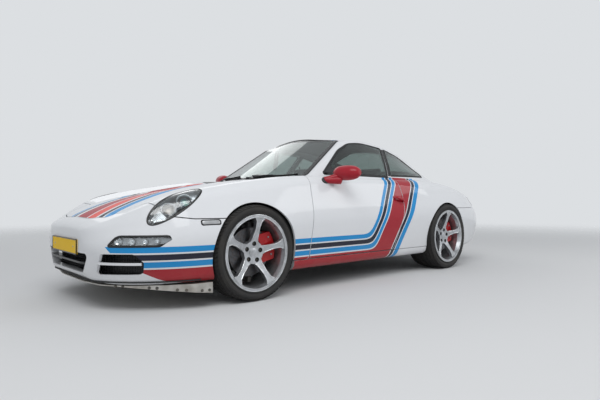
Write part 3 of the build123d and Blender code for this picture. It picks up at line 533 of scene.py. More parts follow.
def repeated(name, part, tree, finish, body, slot, smooth=35.0, matrix=None, **inputs):
    """A piece repeated by a Geometry Nodes tree, made plain mesh, put in place and set riding."""
    seed = linked(name + "_seed", mesh_of(name, part))
    modifier = seed.modifiers.new("Repeat", "NODES")
    modifier.node_group = tree
    for item in tree.interface.items_tree:
        if item.item_type == "SOCKET" and item.in_out == "INPUT" and item.name in inputs:
            modifier[item.identifier] = inputs[item.name]
        if item.item_type == "SOCKET" and item.in_out == "INPUT" and item.name == "Finish":
            modifier[item.identifier] = finish_for(finish)
    graph = bpy.context.evaluated_depsgraph_get()
    plain = bpy.data.meshes.new_from_object(seed.evaluated_get(graph))
    bpy.data.objects.remove(seed)
    if matrix:
        plain.transform(matrix)
    return finished(name, plain, finish, body, smooth)


# Finishes


def flank_bands(tree, white):
    """Bands along the sill that bend up behind the door, from the level sets of two planes."""
    c, s = colours(), sizes()
    axes = add(tree, "SeparateXYZ", Vector=place(tree)).outputs
    over_sill = add(tree, "Math", {"operation": "SUBTRACT"}, n0=axes["Z"], n1=0.402)
    lean = add(tree, "VectorMath", {"operation": "DOT_PRODUCT"}, n0=place(tree), n1=(0.866, 0, 0.5))
    ahead = add(tree, "Math", {"operation": "SUBTRACT"}, n0=lean.outputs["Value"], n1=0.272)
    bend = add(tree, "Math", {"operation": "SMOOTH_MIN"}, n0=over_sill, n1=ahead, n2=0.11)
    deep = add(tree, "Math", {"operation": "MULTIPLY", "use_clamp": True}, n0=bend, n1=-2.0)
    sky, navy, red = linear(c.sky), linear(c.navy), linear(c.red)
    width, gap = s.band, s.pinstripe
    runs, at = [(0.0, white)], 0.004
    for colour, wide in (
            (sky, width), (navy, width), (sky, width), (red, 0.192), (navy, width), (sky, 0.052)):
        runs += [(2 * at, colour), (2 * (at + wide), white)]
        at += wide + gap
    ramp = add(tree, "ValToRGB", Fac=deep)
    ramp.color_ramp.interpolation = "CONSTANT"
    banded = stops(ramp, runs)
    # The bands keep below the belt and start beside the nose, along a slanted edge
    half = add(tree, "Math", {"operation": "ABSOLUTE"}, n0=axes["Y"])
    slant = add(tree, "Math", {"operation": "MULTIPLY_ADD"}, n0=axes["Z"], n1=0.9, n2=-0.905)
    beside = add(tree, "Math", {"operation": "ADD"}, n0=half, n1=slant)
    outside = add(tree, "Math", {"operation": "GREATER_THAN"}, n0=beside, n1=0.0)
    below = add(tree, "Math", {"operation": "LESS_THAN"}, n0=axes["Z"], n1=0.888)
    ahead_of_tail = add(tree, "Math", {"operation": "GREATER_THAN"}, n0=axes["X"], n1=-1.2)
    both = add(tree, "Math", {"operation": "MULTIPLY"}, n0=outside, n1=below)
    mask = add(tree, "Math", {"operation": "MULTIPLY"}, n0=both, n1=ahead_of_tail)
    # Film lies on the outer faces alone, whose normals point away from the car's middle line
    coord = add(tree, "TexCoord").outputs
    weighed = add(tree, "VectorMath", {"operation": "MULTIPLY"}, n0=coord["Object"], n1=(0.1, 1.0, 0.0))
    away = add(tree, "VectorMath", {"operation": "DOT_PRODUCT"}, n0=weighed, n1=coord["Normal"])
    outer = add(tree, "Math", {"operation": "GREATER_THAN"}, n0=away.outputs["Value"], n1=0.1)
    shown = add(tree, "Math", {"operation": "MULTIPLY"}, n0=mask, n1=outer)
    return banded, shown.outputs[0]


def facing_up(tree):
    """1 on the faces of a lid or roof that look up, 0 on its lining side."""
    faces = add(tree, "SeparateXYZ", Vector=add(tree, "TexCoord").outputs["Normal"]).outputs
    return add(tree, "Math", {"operation": "GREATER_THAN"}, n0=faces["Z"], n1=0.05).outputs[0]


def lid_bands(tree, white):
    """Slanting bands over the front lid, from the left of its nose to the right of its rear."""
    c = colours()
    lean = add(tree, "VectorMath", {"operation": "DOT_PRODUCT"}, n0=place(tree), n1=(-0.5623, 0.8269, 0))
    at = add(tree, "Math", {"operation": "ADD", "use_clamp": True}, n0=lean.outputs["Value"], n1=1.62)
    ramp = add(tree, "ValToRGB", Fac=at)
    ramp.color_ramp.interpolation = "CONSTANT"
    red, coral, navy, sky = (linear(code) for code in (c.red, c.coral, c.navy, c.sky))
    # Columns: colour, then where it starts and ends across the bands in metres
    bands = [
        (sky, 0.3, 0.33), (navy, 0.342, 0.372), (red, 0.42, 0.565), (coral, 0.58, 0.675), (navy, 0.7, 0.745),
        (sky, 0.76, 0.83)]
    runs = [(0.0, white)]
    for colour, start, end in bands:
        runs += [(start, colour), (end, white)]
    return stops(ramp, runs), facing_up(tree)


def roof_bands(tree, white):
    """Two thin bands along each side of the roof."""
    c = colours()
    axes = add(tree, "SeparateXYZ", Vector=place(tree)).outputs
    half = add(tree, "Math", {"operation": "ABSOLUTE"}, n0=axes["Y"])
    ramp = add(tree, "ValToRGB", Fac=half)
    ramp.color_ramp.interpolation = "CONSTANT"
    runs = [(0.0, white), (0.372, linear(c.sky)), (0.398, white), (0.408, linear(c.red)), (0.428, white)]
    return stops(ramp, runs), facing_up(tree)


def gloss_paint(name, bands=None, colour=None, lacquer=0.6):
    """Solid steel body paint under clear lacquer: a mirror-like top over an even colour, with the
    faint ripple of a sprayed finish and a veil of road dust low down."""
    white_code = colour or colours().white
    material, tree, shader = new_material(
        name, white_code, Roughness=0.5, Specular_IOR_Level=0.1, Coat_Weight=lacquer, Coat_Roughness=0.035,
        Coat_IOR=1.45)
    white = linear(white_code)
    base = white
    if bands:
        banded, mask = bands(tree, white)
        base = add(tree, "Mix", {"data_type": "RGBA"}, n0=mask, n6=white, n7=banded).outputs[2]
    # Dust gathers under 0.45 m and fades upwards
    height = add(tree, "SeparateXYZ", Vector=place(tree)).outputs["Z"]
    low = add(tree, "MapRange", Value=height, From_Min=0.46, From_Max=0.16, To_Min=0.0, To_Max=0.22)
    cloud = add(tree, "TexNoise", Vector=place(tree), Scale=9.0, Detail=6.0, Roughness=0.65)
    veil = add(tree, "Math", {"operation": "MULTIPLY"}, n0=low, n1=cloud.outputs["Fac"])
    dusty = add(tree, "Mix", {"data_type": "RGBA"}, n0=veil, n6=base, n7=linear("8A7F70"))
    tree.links.new(dusty.outputs[2], shader.inputs["Base Color"])
    # Ripple of the lacquer: about 6 mm from crest to crest and a few micrometres high
    ripple = add(tree, "TexNoise", Vector=place(tree), Scale=160.0, Detail=1.0)
    add(
        tree, "Bump", into=shader.inputs["Coat Normal"], Height=ripple.outputs["Fac"], Strength=0.05,
        Distance=0.0004)
    return material


def patterned(name, colour, layers, **settings):
    """A material whose shader is varied by patterns. A layer is (texture, its settings, its inputs, uses),
    and uses may hold tint (low, high, first, second), bump (strength, metres), roughness (least, most)."""
    material, tree, shader = new_material(name, colour, **settings)
    for texture, options, inputs, uses in layers:
        at = place(tree)
        if "stretch" in uses:
            at = add(tree, "Mapping", Vector=at, Scale=uses["stretch"])
        pattern = add(tree, texture, options, Vector=at, **inputs)
        out = pattern.outputs["Fac" if "Fac" in pattern.outputs else "Distance"]
        if "tint" in uses:
            tint(tree, shader, out, *uses["tint"])
        if "bump" in uses:
            strength, depth = uses["bump"]
            add(tree, "Bump", into=shader.inputs["Normal"], Height=out, Strength=strength, Distance=depth)
        if "roughness" in uses:
            least, most = uses["roughness"]
            add(tree, "MapRange", into=shader.inputs["Roughness"], Value=out, To_Min=least, To_Max=most)
    return material


def see_through(name, colour, ior, shade=1.0):
    """Clear glass or plastic with sharp reflections. Light goes straight on through it, shaded, so that
    what lies behind isn't black."""
    material, tree, shader = new_material(name, colour, Roughness=0.0, IOR=ior, Transmission_Weight=1.0)
    clear = add(tree, "BsdfTransparent", Color=tuple(shade * v for v in linear(colour)[:3]) + (1,))
    ray = add(tree, "LightPath").outputs["Is Shadow Ray"]
    add(tree, "MixShader", into=tree.nodes["Material Output"].inputs["Surface"], n0=ray, n1=shader, n2=clear)
    return material


def glint_painted_lens(name, colour):
    """Projector glass, opaque: a dark teal base colour varied from blue to green, which paints the lens's
    glint, and reflections tinted green as from a thin coating.
    """
    material = patterned(
        name, colour,
        [("TexNoise", None, {"Scale": 24.0, "Detail": 1.0}, {"tint": (0.4, 0.6, colour, "1C4A40")})],
        Roughness=0.02, IOR=1.52, Specular_IOR_Level=0.9, Coat_Weight=1.0)
    shader = material.node_tree.nodes["Principled BSDF"]
    shader.inputs["Specular Tint"].default_value = linear("8FE3C8")
    return material


def cast_silver(name, colour, roughness=0.3):
    """Cast aluminium under silver lacquer: metal flake sparkle and a clear top."""
    flakes = "TexVoronoi", None, {"Scale": 900.0}, {"roughness": (roughness - 0.06, roughness + 0.1)}
    return patterned(
        name, colour,
        [flakes, ("TexNoise", None, {"Scale": 22.0, "Detail": 5.0}, {"tint": (0.3, 0.72, colour, "A4A6A8")})],
        Metallic=0.85, Roughness=roughness, Coat_Weight=0.6, Coat_Roughness=0.08)


def brushed_metal(name, colour, along, roughness=0.34):
    """Sheet metal brushed in one direction: long fine scratches, 1 to 2 mm apart here so that they
    show, and a dull film of road dirt."""
    stretch = tuple(6.0 if axis == along else 700.0 for axis in "XYZ")
    scratches = (
        "TexNoise", None, {"Scale": 1.0, "Detail": 3.0},
        {"stretch": stretch, "bump": (0.5, 0.0001), "roughness": (roughness - 0.1, roughness + 0.16)})
    dirt = ("TexNoise", None, {"Scale": 14.0, "Detail": 6.0}, {"tint": (0.35, 0.85, colour, "7C766C")})
    return patterned(name, colour, [scratches, dirt], Metallic=1.0, Roughness=roughness)


def woven_cloth(name, colour, second):
    """Flat-woven seat cloth: threads 2.5 mm apart in two directions, here a little coarser than
    real so that they show, with a soft sheen along the nap."""
    material, tree, shader = new_material(name, colour, Roughness=0.9, Sheen_Weight=0.35, Sheen_Roughness=0.4)
    warp, weft, side = (
        add(
            tree, "TexWave", {"bands_direction": axis}, Vector=place(tree), Scale=63.0, Distortion=0.4
        ).outputs["Fac"] for axis in "XZY")
    both = add(tree, "Math", {"operation": "MAXIMUM"}, n0=warp, n1=side)
    weave = add(tree, "Math", {"operation": "MULTIPLY"}, n0=both, n1=weft)
    add(tree, "Bump", into=shader.inputs["Normal"], Height=weave, Strength=0.7, Distance=0.0006)
    tint(tree, shader, weave, 0.1, 0.9, second, colour)
    return material


def red_lens(name, colour):
    """Tail lamp acrylic: deep red and polished, ribbed inside every 6 mm, with a clear band."""
    material, tree, shader = new_material(name, colour, Roughness=0.06, IOR=1.49, Coat_Weight=0.5)
    ramp = add(tree, "ValToRGB", Fac=add(tree, "SeparateXYZ", Vector=place(tree)).outputs["Z"])
    ramp.color_ramp.interpolation = "CONSTANT"
    band = stops(ramp, [(0.0, linear(colour)), (0.638, linear("D9DBDC")), (0.664, linear(colour))])
    ribs = add(tree, "TexWave", {"bands_direction": "Z"}, Vector=place(tree), Scale=26.0).outputs
    multiply = {"data_type": "RGBA", "blend_type": "MULTIPLY"}
    shaded = add(tree, "Mix", multiply, n0=0.35, n6=band, n7=ribs["Color"])
    tree.links.new(shaded.outputs[2], shader.inputs["Base Color"])
    add(tree, "Bump", into=shader.inputs["Normal"], Height=ribs["Fac"], Strength=0.25, Distance=0.0006)
    return material


FINISHES = {}


def finish_for(key):
    """Each finish is made once, on first use."""
    c = colours()
    makers = {
        "flank": lambda: gloss_paint("Lacquered white with flank bands", flank_bands),
        "lid": lambda: gloss_paint("Lacquered white with slanting bands", lid_bands, lacquer=0.25),
        "roof": lambda: gloss_paint("Lacquered white with roof bands", roof_bands),
        "white": lambda: gloss_paint("Lacquered white"),
        "red": lambda: gloss_paint("Lacquered red", colour=c.red),
        "caliper": lambda: gloss_paint("Caliper enamel", colour=c.caliper),
        "plate": lambda: gloss_paint("Reflective plate film", colour=c.yellow, lacquer=0.1),
        # Grained black ABS: dull, slightly greyed, with a fine moulded grain of about 1.5 mm
        "plastic": lambda: patterned(
            "Moulded ABS", "1A1B1D", [(
                "TexNoise", None, {"Scale": 650.0, "Detail": 4.0},
                {"bump": (1.0, 0.00018), "tint": (0.35, 0.75, "1A1B1D", "26282B")})],
            Roughness=0.55, IOR=1.5),
        # Polished black ABS, as on grille slats and lamp frames, with faint handling haze
        "gloss_black": lambda: patterned(
            "Gloss ABS", "0C0D0E",
            [("TexNoise", None, {"Scale": 35.0, "Detail": 4.0}, {"roughness": (0.14, 0.34)})], Roughness=0.22,
            IOR=1.5),
        # Extruded EPDM seal: near black and matt, with a slight bloom
        "rubber": lambda: patterned(
            "EPDM rubber", "121314", [(
                "TexNoise", None, {"Scale": 420.0, "Detail": 3.0},
                {"bump": (1.0, 0.00012), "tint": (0.3, 0.8, "121314", "1E1F21")})],
            Roughness=0.72, IOR=1.52),
        # Laminated safety glass with a grey-green tint, and hard-coated polycarbonate, water clear
        "glass": lambda: see_through("Tinted safety glass", "A9B8B4", 1.52, 0.55),
        "lens": lambda: see_through("Clear polycarbonate", "F4F7F8", 1.585),
        # Dark teal projector glass whose base colour paints a blue-green glint
        "glint_painted_lens": lambda: glint_painted_lens("Projector glass with painted glint", "1D3A4A"),
        "silver": lambda: cast_silver("Silver wheel lacquer", c.wheel),
        "tub": lambda: cast_silver("Satin reflector", "B9BDC2", 0.28),
        "cast": lambda: cast_silver("Bare cast alloy", "8F9091", 0.5),
        # A lighter silver than the wheel, which paints the highlight along the spoke edges and rim beads
        "edge": lambda: cast_silver("Alloy edge with painted highlight", "E6E8EA", 0.2),
        # Brake disc iron: bright turned face with a trace of flash rust
        "disc": lambda: patterned(
            "Machined cast iron", "5E5F62",
            [
                (
                    "TexNoise", None, {"Scale": 45.0, "Detail": 5.0},
                    {"tint": (0.45, 0.85, "5E5F62", "5E5048")}),
                ("TexNoise", None, {"Scale": 900.0, "Detail": 1.0}, {"bump": (0.4, 0.0001)})],
            Metallic=1.0, Roughness=0.36),
        "skid": lambda: brushed_metal("Brushed aluminium sheet", "C3C0BA", "Y"),
        "steel": lambda: brushed_metal("Stainless steel tube", "B9B7B2", "Y", 0.24),
        "dark_steel": lambda: brushed_metal("Zinc-plated bolt steel", "5E5C58", "Z", 0.42),
        "polished": lambda: brushed_metal("Polished stainless steel", "CFCDC8", "X", 0.16),
        "chrome": lambda: new_material("Vapour-plated reflector", "E6E8EA", Metallic=1.0, Roughness=0.08)[0],
        # Vulcanised rubber: matt charcoal, browned a little by dust in its grain
        "tyre": lambda: patterned(
            "Tyre rubber", "1B1B1C",
            [("TexNoise", None, {"Scale": 320.0, "Detail": 5.0}, {"bump": (1.0, 0.00025)}),
             ("TexNoise", None, {"Scale": 7.0, "Detail": 6.0, "Roughness": 0.6},
              {"tint": (0.35, 0.8, "1B1B1C", "34312D")})],
            Roughness=0.78, IOR=1.52),
        # Sprayed underbody coating over steel: lumpy, satin and dusty
        "under": lambda: patterned(
            "Stone-chip coating", "25272A",
            [
                ("TexNoise", None, {"Scale": 140.0, "Detail": 6.0}, {"bump": (1.0, 0.0008)}),
                ("TexNoise", None, {"Scale": 6.0, "Detail": 6.0}, {"tint": (0.35, 0.8, "25272A", "4A453D")})],
            Roughness=0.6),
        # Soft dashboard vinyl with a leather-like grain, cells about 2.5 mm across
        "vinyl": lambda: patterned(
            "Grained vinyl", "202226", [(
                "TexVoronoi", {"feature": "DISTANCE_TO_EDGE"}, {"Scale": 400.0},
                {"bump": (0.6, 0.0004), "tint": (0.0, 0.25, "16171A", "202226")})],
            Roughness=0.6, IOR=1.5),
        # Smooth hide on the wheel rim: fine creases a few millimetres apart, polished by hands
        "leather": lambda: patterned(
            "Wheel rim leather", "222326", [(
                "TexVoronoi", {"feature": "DISTANCE_TO_EDGE"}, {"Scale": 330.0},
                {"bump": (0.5, 0.0005), "tint": (0.0, 0.2, "101113", "222326")})],
            Roughness=0.48, IOR=1.5),
        "cloth": lambda: woven_cloth("Woven seat cloth", c.seat, "131417"),
        "lining": lambda: woven_cloth("Knitted roof lining", "8C8D8E", "6E6F71"),
        "red_thread": lambda: woven_cloth("Waxed red thread", c.red, "5E0C16"),
        "tail": lambda: red_lens("Red acrylic", "8E0A12"),
    }
    if key not in FINISHES:
        FINISHES[key] = makers[key]()
    return FINISHES[key]


# Places on the car that several pieces share, in metres

HEADLAMP = frame_at((1.781, 0.708, 0.642), (0.86, 0.02, -0.51), (0.34, 0.69, 0.61))
# Columns: centre, side, the tyre's radius and width, the rim's width and how deep its face lies in it
WHEELS = {
    "wheel_front_left": (Vector((1.258, 0.745, 0.321)), 1, 0.321, 0.235, 0.222, 0.053),
    "wheel_front_right": (Vector((1.258, -0.745, 0.321)), -1, 0.321, 0.235, 0.222, 0.053),
    "wheel_rear_left": (Vector((-1.092, 0.752, 0.324)), 1, 0.324, 0.285, 0.28, 0.056),
    "wheel_rear_right": (Vector((-1.092, -0.752, 0.324)), -1, 0.324, 0.285, 0.28, 0.056)}


class COUPE_OT_stage(bpy.types.Operator):
    """Pale floor, even light, two soft lamps and the camera at the photograph's angle"""

    bl_idname = "coupe.stage"
    bl_label = "Stage"

    def execute(self, context):
        stage = context.scene.coupe_stage
        scene = context.scene
        scene.view_settings.view_transform = "Standard"
        world = bpy.data.worlds.new("Even studio light")
        scene.world = world
        world.use_nodes = True
        tree = world.node_tree
        light = tree.nodes["Background"]
        light.inputs["Color"].default_value = linear("F4F7FB")
        light.inputs["Strength"].default_value = stage.sky
        shown = add(tree, "Background", Color=linear("DCDFE2"), Strength=1.0)
        ray = add(tree, "LightPath").outputs
        seen = add(
            tree, "Math", {"operation": "MAXIMUM"}, n0=ray["Is Camera Ray"], n1=ray["Is Transmission Ray"])
        mirrored_too = add(tree, "Math", {"operation": "MAXIMUM"}, n0=seen, n1=ray["Is Glossy Ray"])
        add(
            tree, "MixShader", into=tree.nodes["World Output"].inputs["Surface"], n0=mirrored_too, n1=light,
            n2=shown)
        # The floor fades into the background away from the car, so no horizon shows
        points, faces = [], []
        rings = (0.0, 2.0, 3.5, 5.0, 7.0, 10.0, 14.0, 20.0)
        for radius in rings[1:]:
            points.extend((radius * cos(tau * i / 72), radius * sin(tau * i / 72), 0) for i in range(72))
        for level in range(len(rings) - 2):
            a, b = level * 72, (level + 1) * 72
            faces.extend((a + i, b + i, b + (i + 1) % 72, a + (i + 1) % 72) for i in range(72))
        faces.append(tuple(range(72)))
        floor = linked("floor", mesh_of("floor", (points, faces)))
        material, tree, shader = new_material("Matt studio floor", stage.floor, Roughness=0.85)
        away = add(tree, "VectorMath", {"operation": "LENGTH"}, n0=place(tree))
        fade = add(
            tree, "MapRange", {"interpolation_type": "SMOOTHSTEP"}, Value=away.outputs["Value"], From_Min=3.2,
            From_Max=13.0)
        clear = add(tree, "BsdfTransparent")
        add(
            tree, "MixShader", into=tree.nodes["Material Output"].inputs["Surface"], n0=fade, n1=shader,
            n2=clear)
        floor.data.materials.append(material)
        # Columns: name, power, width, height, place, aim
        lamps = [
            ("key_lamp", stage.key, 5.0, 3.0, (3.2, 3.6, 5.2), (0.2, 0.2, 0.4)),
            ("fill_lamp", stage.fill, 5.0, 2.0, (-3.6, 5.2, 3.4), (-0.4, 0.2, 0.5)),
            ("far_lamp", stage.fill * 0.8, 6.0, 3.0, (-1.0, -5.4, 4.6), (0, 0, 0.5))]
        for name, power, wide, high, at, aim in lamps:
            lamp = bpy.data.lights.new(name, "AREA")
            lamp.shape, lamp.size, lamp.size_y, lamp.energy = "RECTANGLE", wide, high, power
            obj = linked(name, lamp)
            obj.location = at
            obj.rotation_euler = (Vector(aim) - Vector(at)).to_track_quat("-Z", "Y").to_euler()
        camera = bpy.data.cameras.new("camera")
        heading, tilt = -2.30686, radians(90.367)
        camera.sensor_width, camera.lens = 36.0, 27.76
        obj = linked("camera", camera)
        obj.location = (3.121, 3.328, 0.6542)
        obj.rotation_euler = (tilt, 0, heading - pi / 2)
        camera.clip_start, camera.clip_end = 0.05, 100.0
        scene.camera = obj
        return {"FINISHED"}


class COUPE_OT_panels(bpy.types.Operator):
    """Finishes on the model's own pieces: paint on its panels, and metal, plastic and rubber"""

    bl_idname = "coupe.panels"
    bl_label = "Panels and plain pieces"

    def execute(self, context):
        finish = {
            "flank": (
                "front_fenders", "front_bumper", "body_sides", "sills", "door_left", "door_right",
                "rear_bumper"),
            "white": ("engine_lid",), "lid": ("front_lid",), "roof": ("roof",),
            "red": ("mirror_left", "mirror_right"), "plastic": ("arch_liners", "cowl"),
            "gloss_black": ("bumper_grilles",),
            "glass": ("windscreen", "rear_window", "quarter_glass", "door_glass_left", "door_glass_right"),
            "lens": ("headlamps", "bumper_lamps"), "tail": ("tail_lamps",),
            "under": (
                "floor_pan", "bulkhead", "front_tub", "rear_tub", "front_suspension", "rear_suspension",
                "knuckle_left", "knuckle_right"),
            "skid": ("skid_plate",), "vinyl": ("dashboard",), "leather": ("steering_wheel",),
            "cloth": ("seats",), "cast": ("engine",), "steel": ("exhaust",),
            "caliper": ("caliper_left", "caliper_right", "rear_calipers"),
            "silver": tuple("rim_" + name[6:] for name in WHEELS),
            "disc": tuple("disc_" + name[6:] for name in WHEELS),
            "tyre": tuple("tyre_" + name[6:] for name in WHEELS), "plate": ("plates",)}
        for key, names in finish.items():
            for name in names:
                if name in NODES:
                    paint(NODES[name], finish_for(key))
        return {"FINISHED"}


def sheet_on(skin, towards, rows, lift, sink=0.002):
    """A thin sheet on a skin: a grid of points pushed along towards onto it and lifted, with a
    skirt round its edge that goes in behind the skin."""
    towards = Vector(towards).normalized()
    points, count, width = [], len(rows), len(rows[0])
    for row in rows:
        for point in row:
            hit, normal, _, _ = skin.ray_cast(Vector(point) - towards * 0.5, towards, 1.0)
            if hit is None:
                hit, normal = Vector(point), -towards
            if normal.dot(towards) > 0:
                normal = -normal
            points.append((hit, normal))
    out = [hit + normal * lift for hit, normal in points]
    faces = []
    for i in range(count - 1):
        for j in range(width - 1):
            a = i * width + j
            faces.append([a, a + 1, a + width + 1, a + width])
    rim = [j for j in range(width)] + [i * width + width - 1 for i in range(1, count)]
    rim += [
        (count - 1) * width + j for j in range(width - 2, -1, -1)
    ] + [i * width for i in range(count - 2, 0, -1)]
    start = len(out)
    out.extend(points[i][0] - points[i][1] * sink for i in rim)
    total = len(rim)
    for k in range(total):
        n = (k + 1) % total
        faces.append([rim[k], start + k, start + n, rim[n]])
    faces.append([start + k for k in range(total)])
    return out, faces


def grid_between(first, second, along=12, across=4):
    """Rows of points between two lines of points, each line evenly divided."""

    def at(line, t):
        spans = [(Vector(b) - Vector(a)).length for a, b in zip(line, line[1:])]
        left = t * sum(spans)
        for (a, b), span in zip(zip(line, line[1:]), spans):
            if left <= span + 1e-9:
                return Vector(a).lerp(Vector(b), left / span if span else 0)
            left -= span
        return Vector(line[-1])

    rows = []
    for i in range(along + 1):
        a, b = at(first, i / along), at(second, i / along)
        rows.append([a.lerp(b, j / across) for j in range(across + 1)])
    return rows


def tread_pitch(radius, half, tread, ribs, pitch):
    """One pitch of tread blocks: each rib is (from, to, slant) across the tyre."""
    parts = []
    for start, end, slant in ribs:
        points = []
        for level in (radius - tread - 0.001, radius):
            for y, turn in ((start, 0.0), (end, slant)):
                for side in (-0.42, 0.42):
                    a = (side + turn) * pitch
                    r = level
                    if level == radius and abs(y) > half - 0.02:
                        r = radius - 0.0115
                    points.append(Vector((r * cos(a), y, r * sin(a))))
        a, b, c, d, e, f, g, h = range(8)
        parts.append(
            (points, [[a, b, d, c], [e, g, h, f], [a, e, f, b], [c, d, h, g], [a, c, g, e], [b, f, h, d]]))
    return merged(parts)


class COUPE_OT_tyres(bpy.types.Operator):
    """Road tyres with moulded walls and cut tread in place of the plain ones"""

    bl_idname = "coupe.tyres"
    bl_label = "Tyres"

    def execute(self, context):
        tread = sizes().tread
        for body, (centre, side, radius, width, _, _) in WHEELS.items():
            h = width / 2
            wall = [
                (0.2423, h - 0.019), (0.2573, h - 0.017), (0.259, h - 0.012), (0.2628, h - 0.0075),
                (0.2668, h - 0.0068), (0.269, h - 0.0092), (0.2735, h - 0.0062), (0.28, h - 0.0022),
                (0.287, h - 0.0006), (0.293, h - 0.0008), (0.2932, h - 0.0003), (0.2946, h - 0.0003),
                (0.2948, h - 0.0012), (radius - 0.019, h - 0.0045), (radius - 0.013, h - 0.0082),
                (radius - 0.0115, h - 0.0125), (radius - tread - 0.0045, h - 0.019),
                (radius - tread, h - 0.026)]
            profile = wall + [(r, -y) for r, y in reversed(wall)]
            casing = lathe(profile, centre, 144)
            tyre = new_piece(f"tyre_{body[6:]}_road", casing, "tyre", body, 32)
            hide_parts("tyre_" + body[6:])
            # Ribs, as shares of the half width: two shoulders, four inner ribs and the middle one
            shares = [(-0.965, -0.7, 0.5), (-0.64, -0.4, 0.35), (-0.34, -0.09, -0.3), (-0.03, 0.03, 0.0)]
            shares += [(-b, -a, t) for a, b, t in shares[:3]]
            ribs = [(a * h, b * h, slant * side) for a, b, slant in shares]
            repeated(
                f"tread_{body[6:]}", tread_pitch(radius, h, tread, ribs, tau / 72), ring_tree(), "tyre", body,
                "tyre_rubber", 40, Count=72, Centre=tuple(centre))
        return {"FINISHED"}


class COUPE_OT_wheels(bpy.types.Operator):
    """Wheel bolts, blank centre caps, valves and the drilled faces of the discs"""

    bl_idname = "coupe.wheels"
    bl_label = "Wheel and brake details"

    def execute(self, context):
        turn = radians(96)
        for body, (centre, side, _, _, width, depth) in WHEELS.items():
            name, face, reach = body[6:], width / 2 - depth, width / 2
            copies = {"Count": 5, "Centre": tuple(centre)}

            def from_face(*rows):
                """A profile of (radius, way out of the wheel's face) for this side of the car."""
                return [(r, side * (face + y)) for r, y in rows]

            # A ball-seated bolt with a hexagon head, with a black cup round it in its recess that paints the
            # recess's shade
            spot = (0.06 * cos(turn), 0, 0.06 * sin(turn))
            head = from_face(
                (0.0001, -0.0125), (0.01, -0.0125), (0.01, -0.011), (0.0088, -0.0095), (0.0084, -0.0035),
                (0.0074, -0.0022), (0.005, -0.002), (0.0046, -0.007), (0.0001, -0.007))
            bolt = lathe(head, spot, 6, closed=False)
            repeated(f"wheel_bolts_{name}", bolt, ring_tree(), "dark_steel", body, "cast_metal", 30, **copies)
            # Painted shade: the black cup stands for the shadow inside the bolt's recess
            cup = from_face(
                (0.0001, -0.0128), (0.0132, -0.0126), (0.0145, -0.011), (0.0147, 0.0012), (0.0162, 0.0036),
                (0.0166, 0.0024), (0.0152, -0.002), (0.0149, -0.0129), (0.0001, -0.0131))
            recess_shade_cup = lathe(cup, spot, 32, closed=False)
            repeated(
                f"bolt_liners_{name}", recess_shade_cup, ring_tree(), "plastic", body, "black_plastic", 40, **copies)
            # A raised bead runs out along both sides of each spoke, and two run round the rim, in a lighter
            # silver that paints the highlight on these edges
            line = ((0.04, face), (0.08, face + 0.004), (0.15, face + 0.026), (0.234, reach - 0.006))
            wide = ((0.03, 0.044), (0.095, 0.024), (0.16, 0.017), (0.208, 0.022), (0.245, 0.052))
            edges = []
            for way in (-1, 1):
                path = []
                for k in range(16):
                    r = 0.086 + 0.144 * k / 15
                    y = float(np.interp(r, *zip(*line)))
                    w = way * (float(np.interp(r, *zip(*wide))) - 0.003)
                    path.append(
                        Vector((r * cos(turn) - w * sin(turn), side * y, r * sin(turn) + w * cos(turn))))
                edges.append(sweep(path, ring(0.0034, 10, 0.72), False, [(0, side, 0)] * 16))
            repeated(
                f"spoke_edges_{name}", merged(edges), ring_tree(), "edge", body, "silver_wheel", 50, **copies)
            highlight_beads = []
            for radius, high in ((0.2385, 0.0014), (0.2545, 0.0022)):
                bead = [
                    (-0.0026, -0.001), (-0.002, high * 0.7), (0, high), (0.002, high * 0.7), (0.0024, -0.001)]
                highlight_beads.append(lathe([(radius + r, side * (reach + y)) for r, y in bead], centre, 144))
            new_piece(f"rim_highlight_beads_{name}", merged(highlight_beads), "edge", body, 50)
            cap = from_face(
                (0.0001, 0.0065), (0.012, 0.0062), (0.022, 0.005), (0.0275, 0.003), (0.0285, 0.0042),
                (0.0315, 0.0038), (0.0322, 0.0015), (0.03, -0.004), (0.0298, -0.012), (0.0001, -0.012))
            new_piece(
                f"centre_cap_{name}", lathe(cap, centre, 64, closed=False), "silver", body)
            valve = (
                (0.0001, 0.024), (0.0034, 0.0235), (0.004, 0.022), (0.004, 0.012), (0.0028, 0.011),
                (0.003, 0.0), (0.0001, 0.0))
            at = centre + Vector((0.232 * cos(turn + 0.62), side * (reach - 0.034), 0.232 * sin(turn + 0.62)))
            stem = lathe([(r, side * y) for r, y in valve], at, 12, closed=False)
            new_piece(f"valve_{name}", stem, "rubber", body)
            # Rows of cross-drilled holes in the outer friction face
            hole = from_face((0.0001, -0.04655), (0.003, -0.04655), (0.0038, -0.04695), (0.0001, -0.048))
            holes = merged([
                lathe(hole, (r * cos(a), 0, r * sin(a)), 8, closed=False)
                for r, a in (
                    (0.098, 0.0), (0.11, 0.06), (0.122, 0.12), (0.134, 0.03), (0.146, 0.09), (0.156, 0.15))])
            repeated(
                f"disc_holes_{name}", holes, ring_tree(), "under", body, "disc_iron", 30, Count=24,
                Centre=tuple(centre))
        return {"FINISHED"}


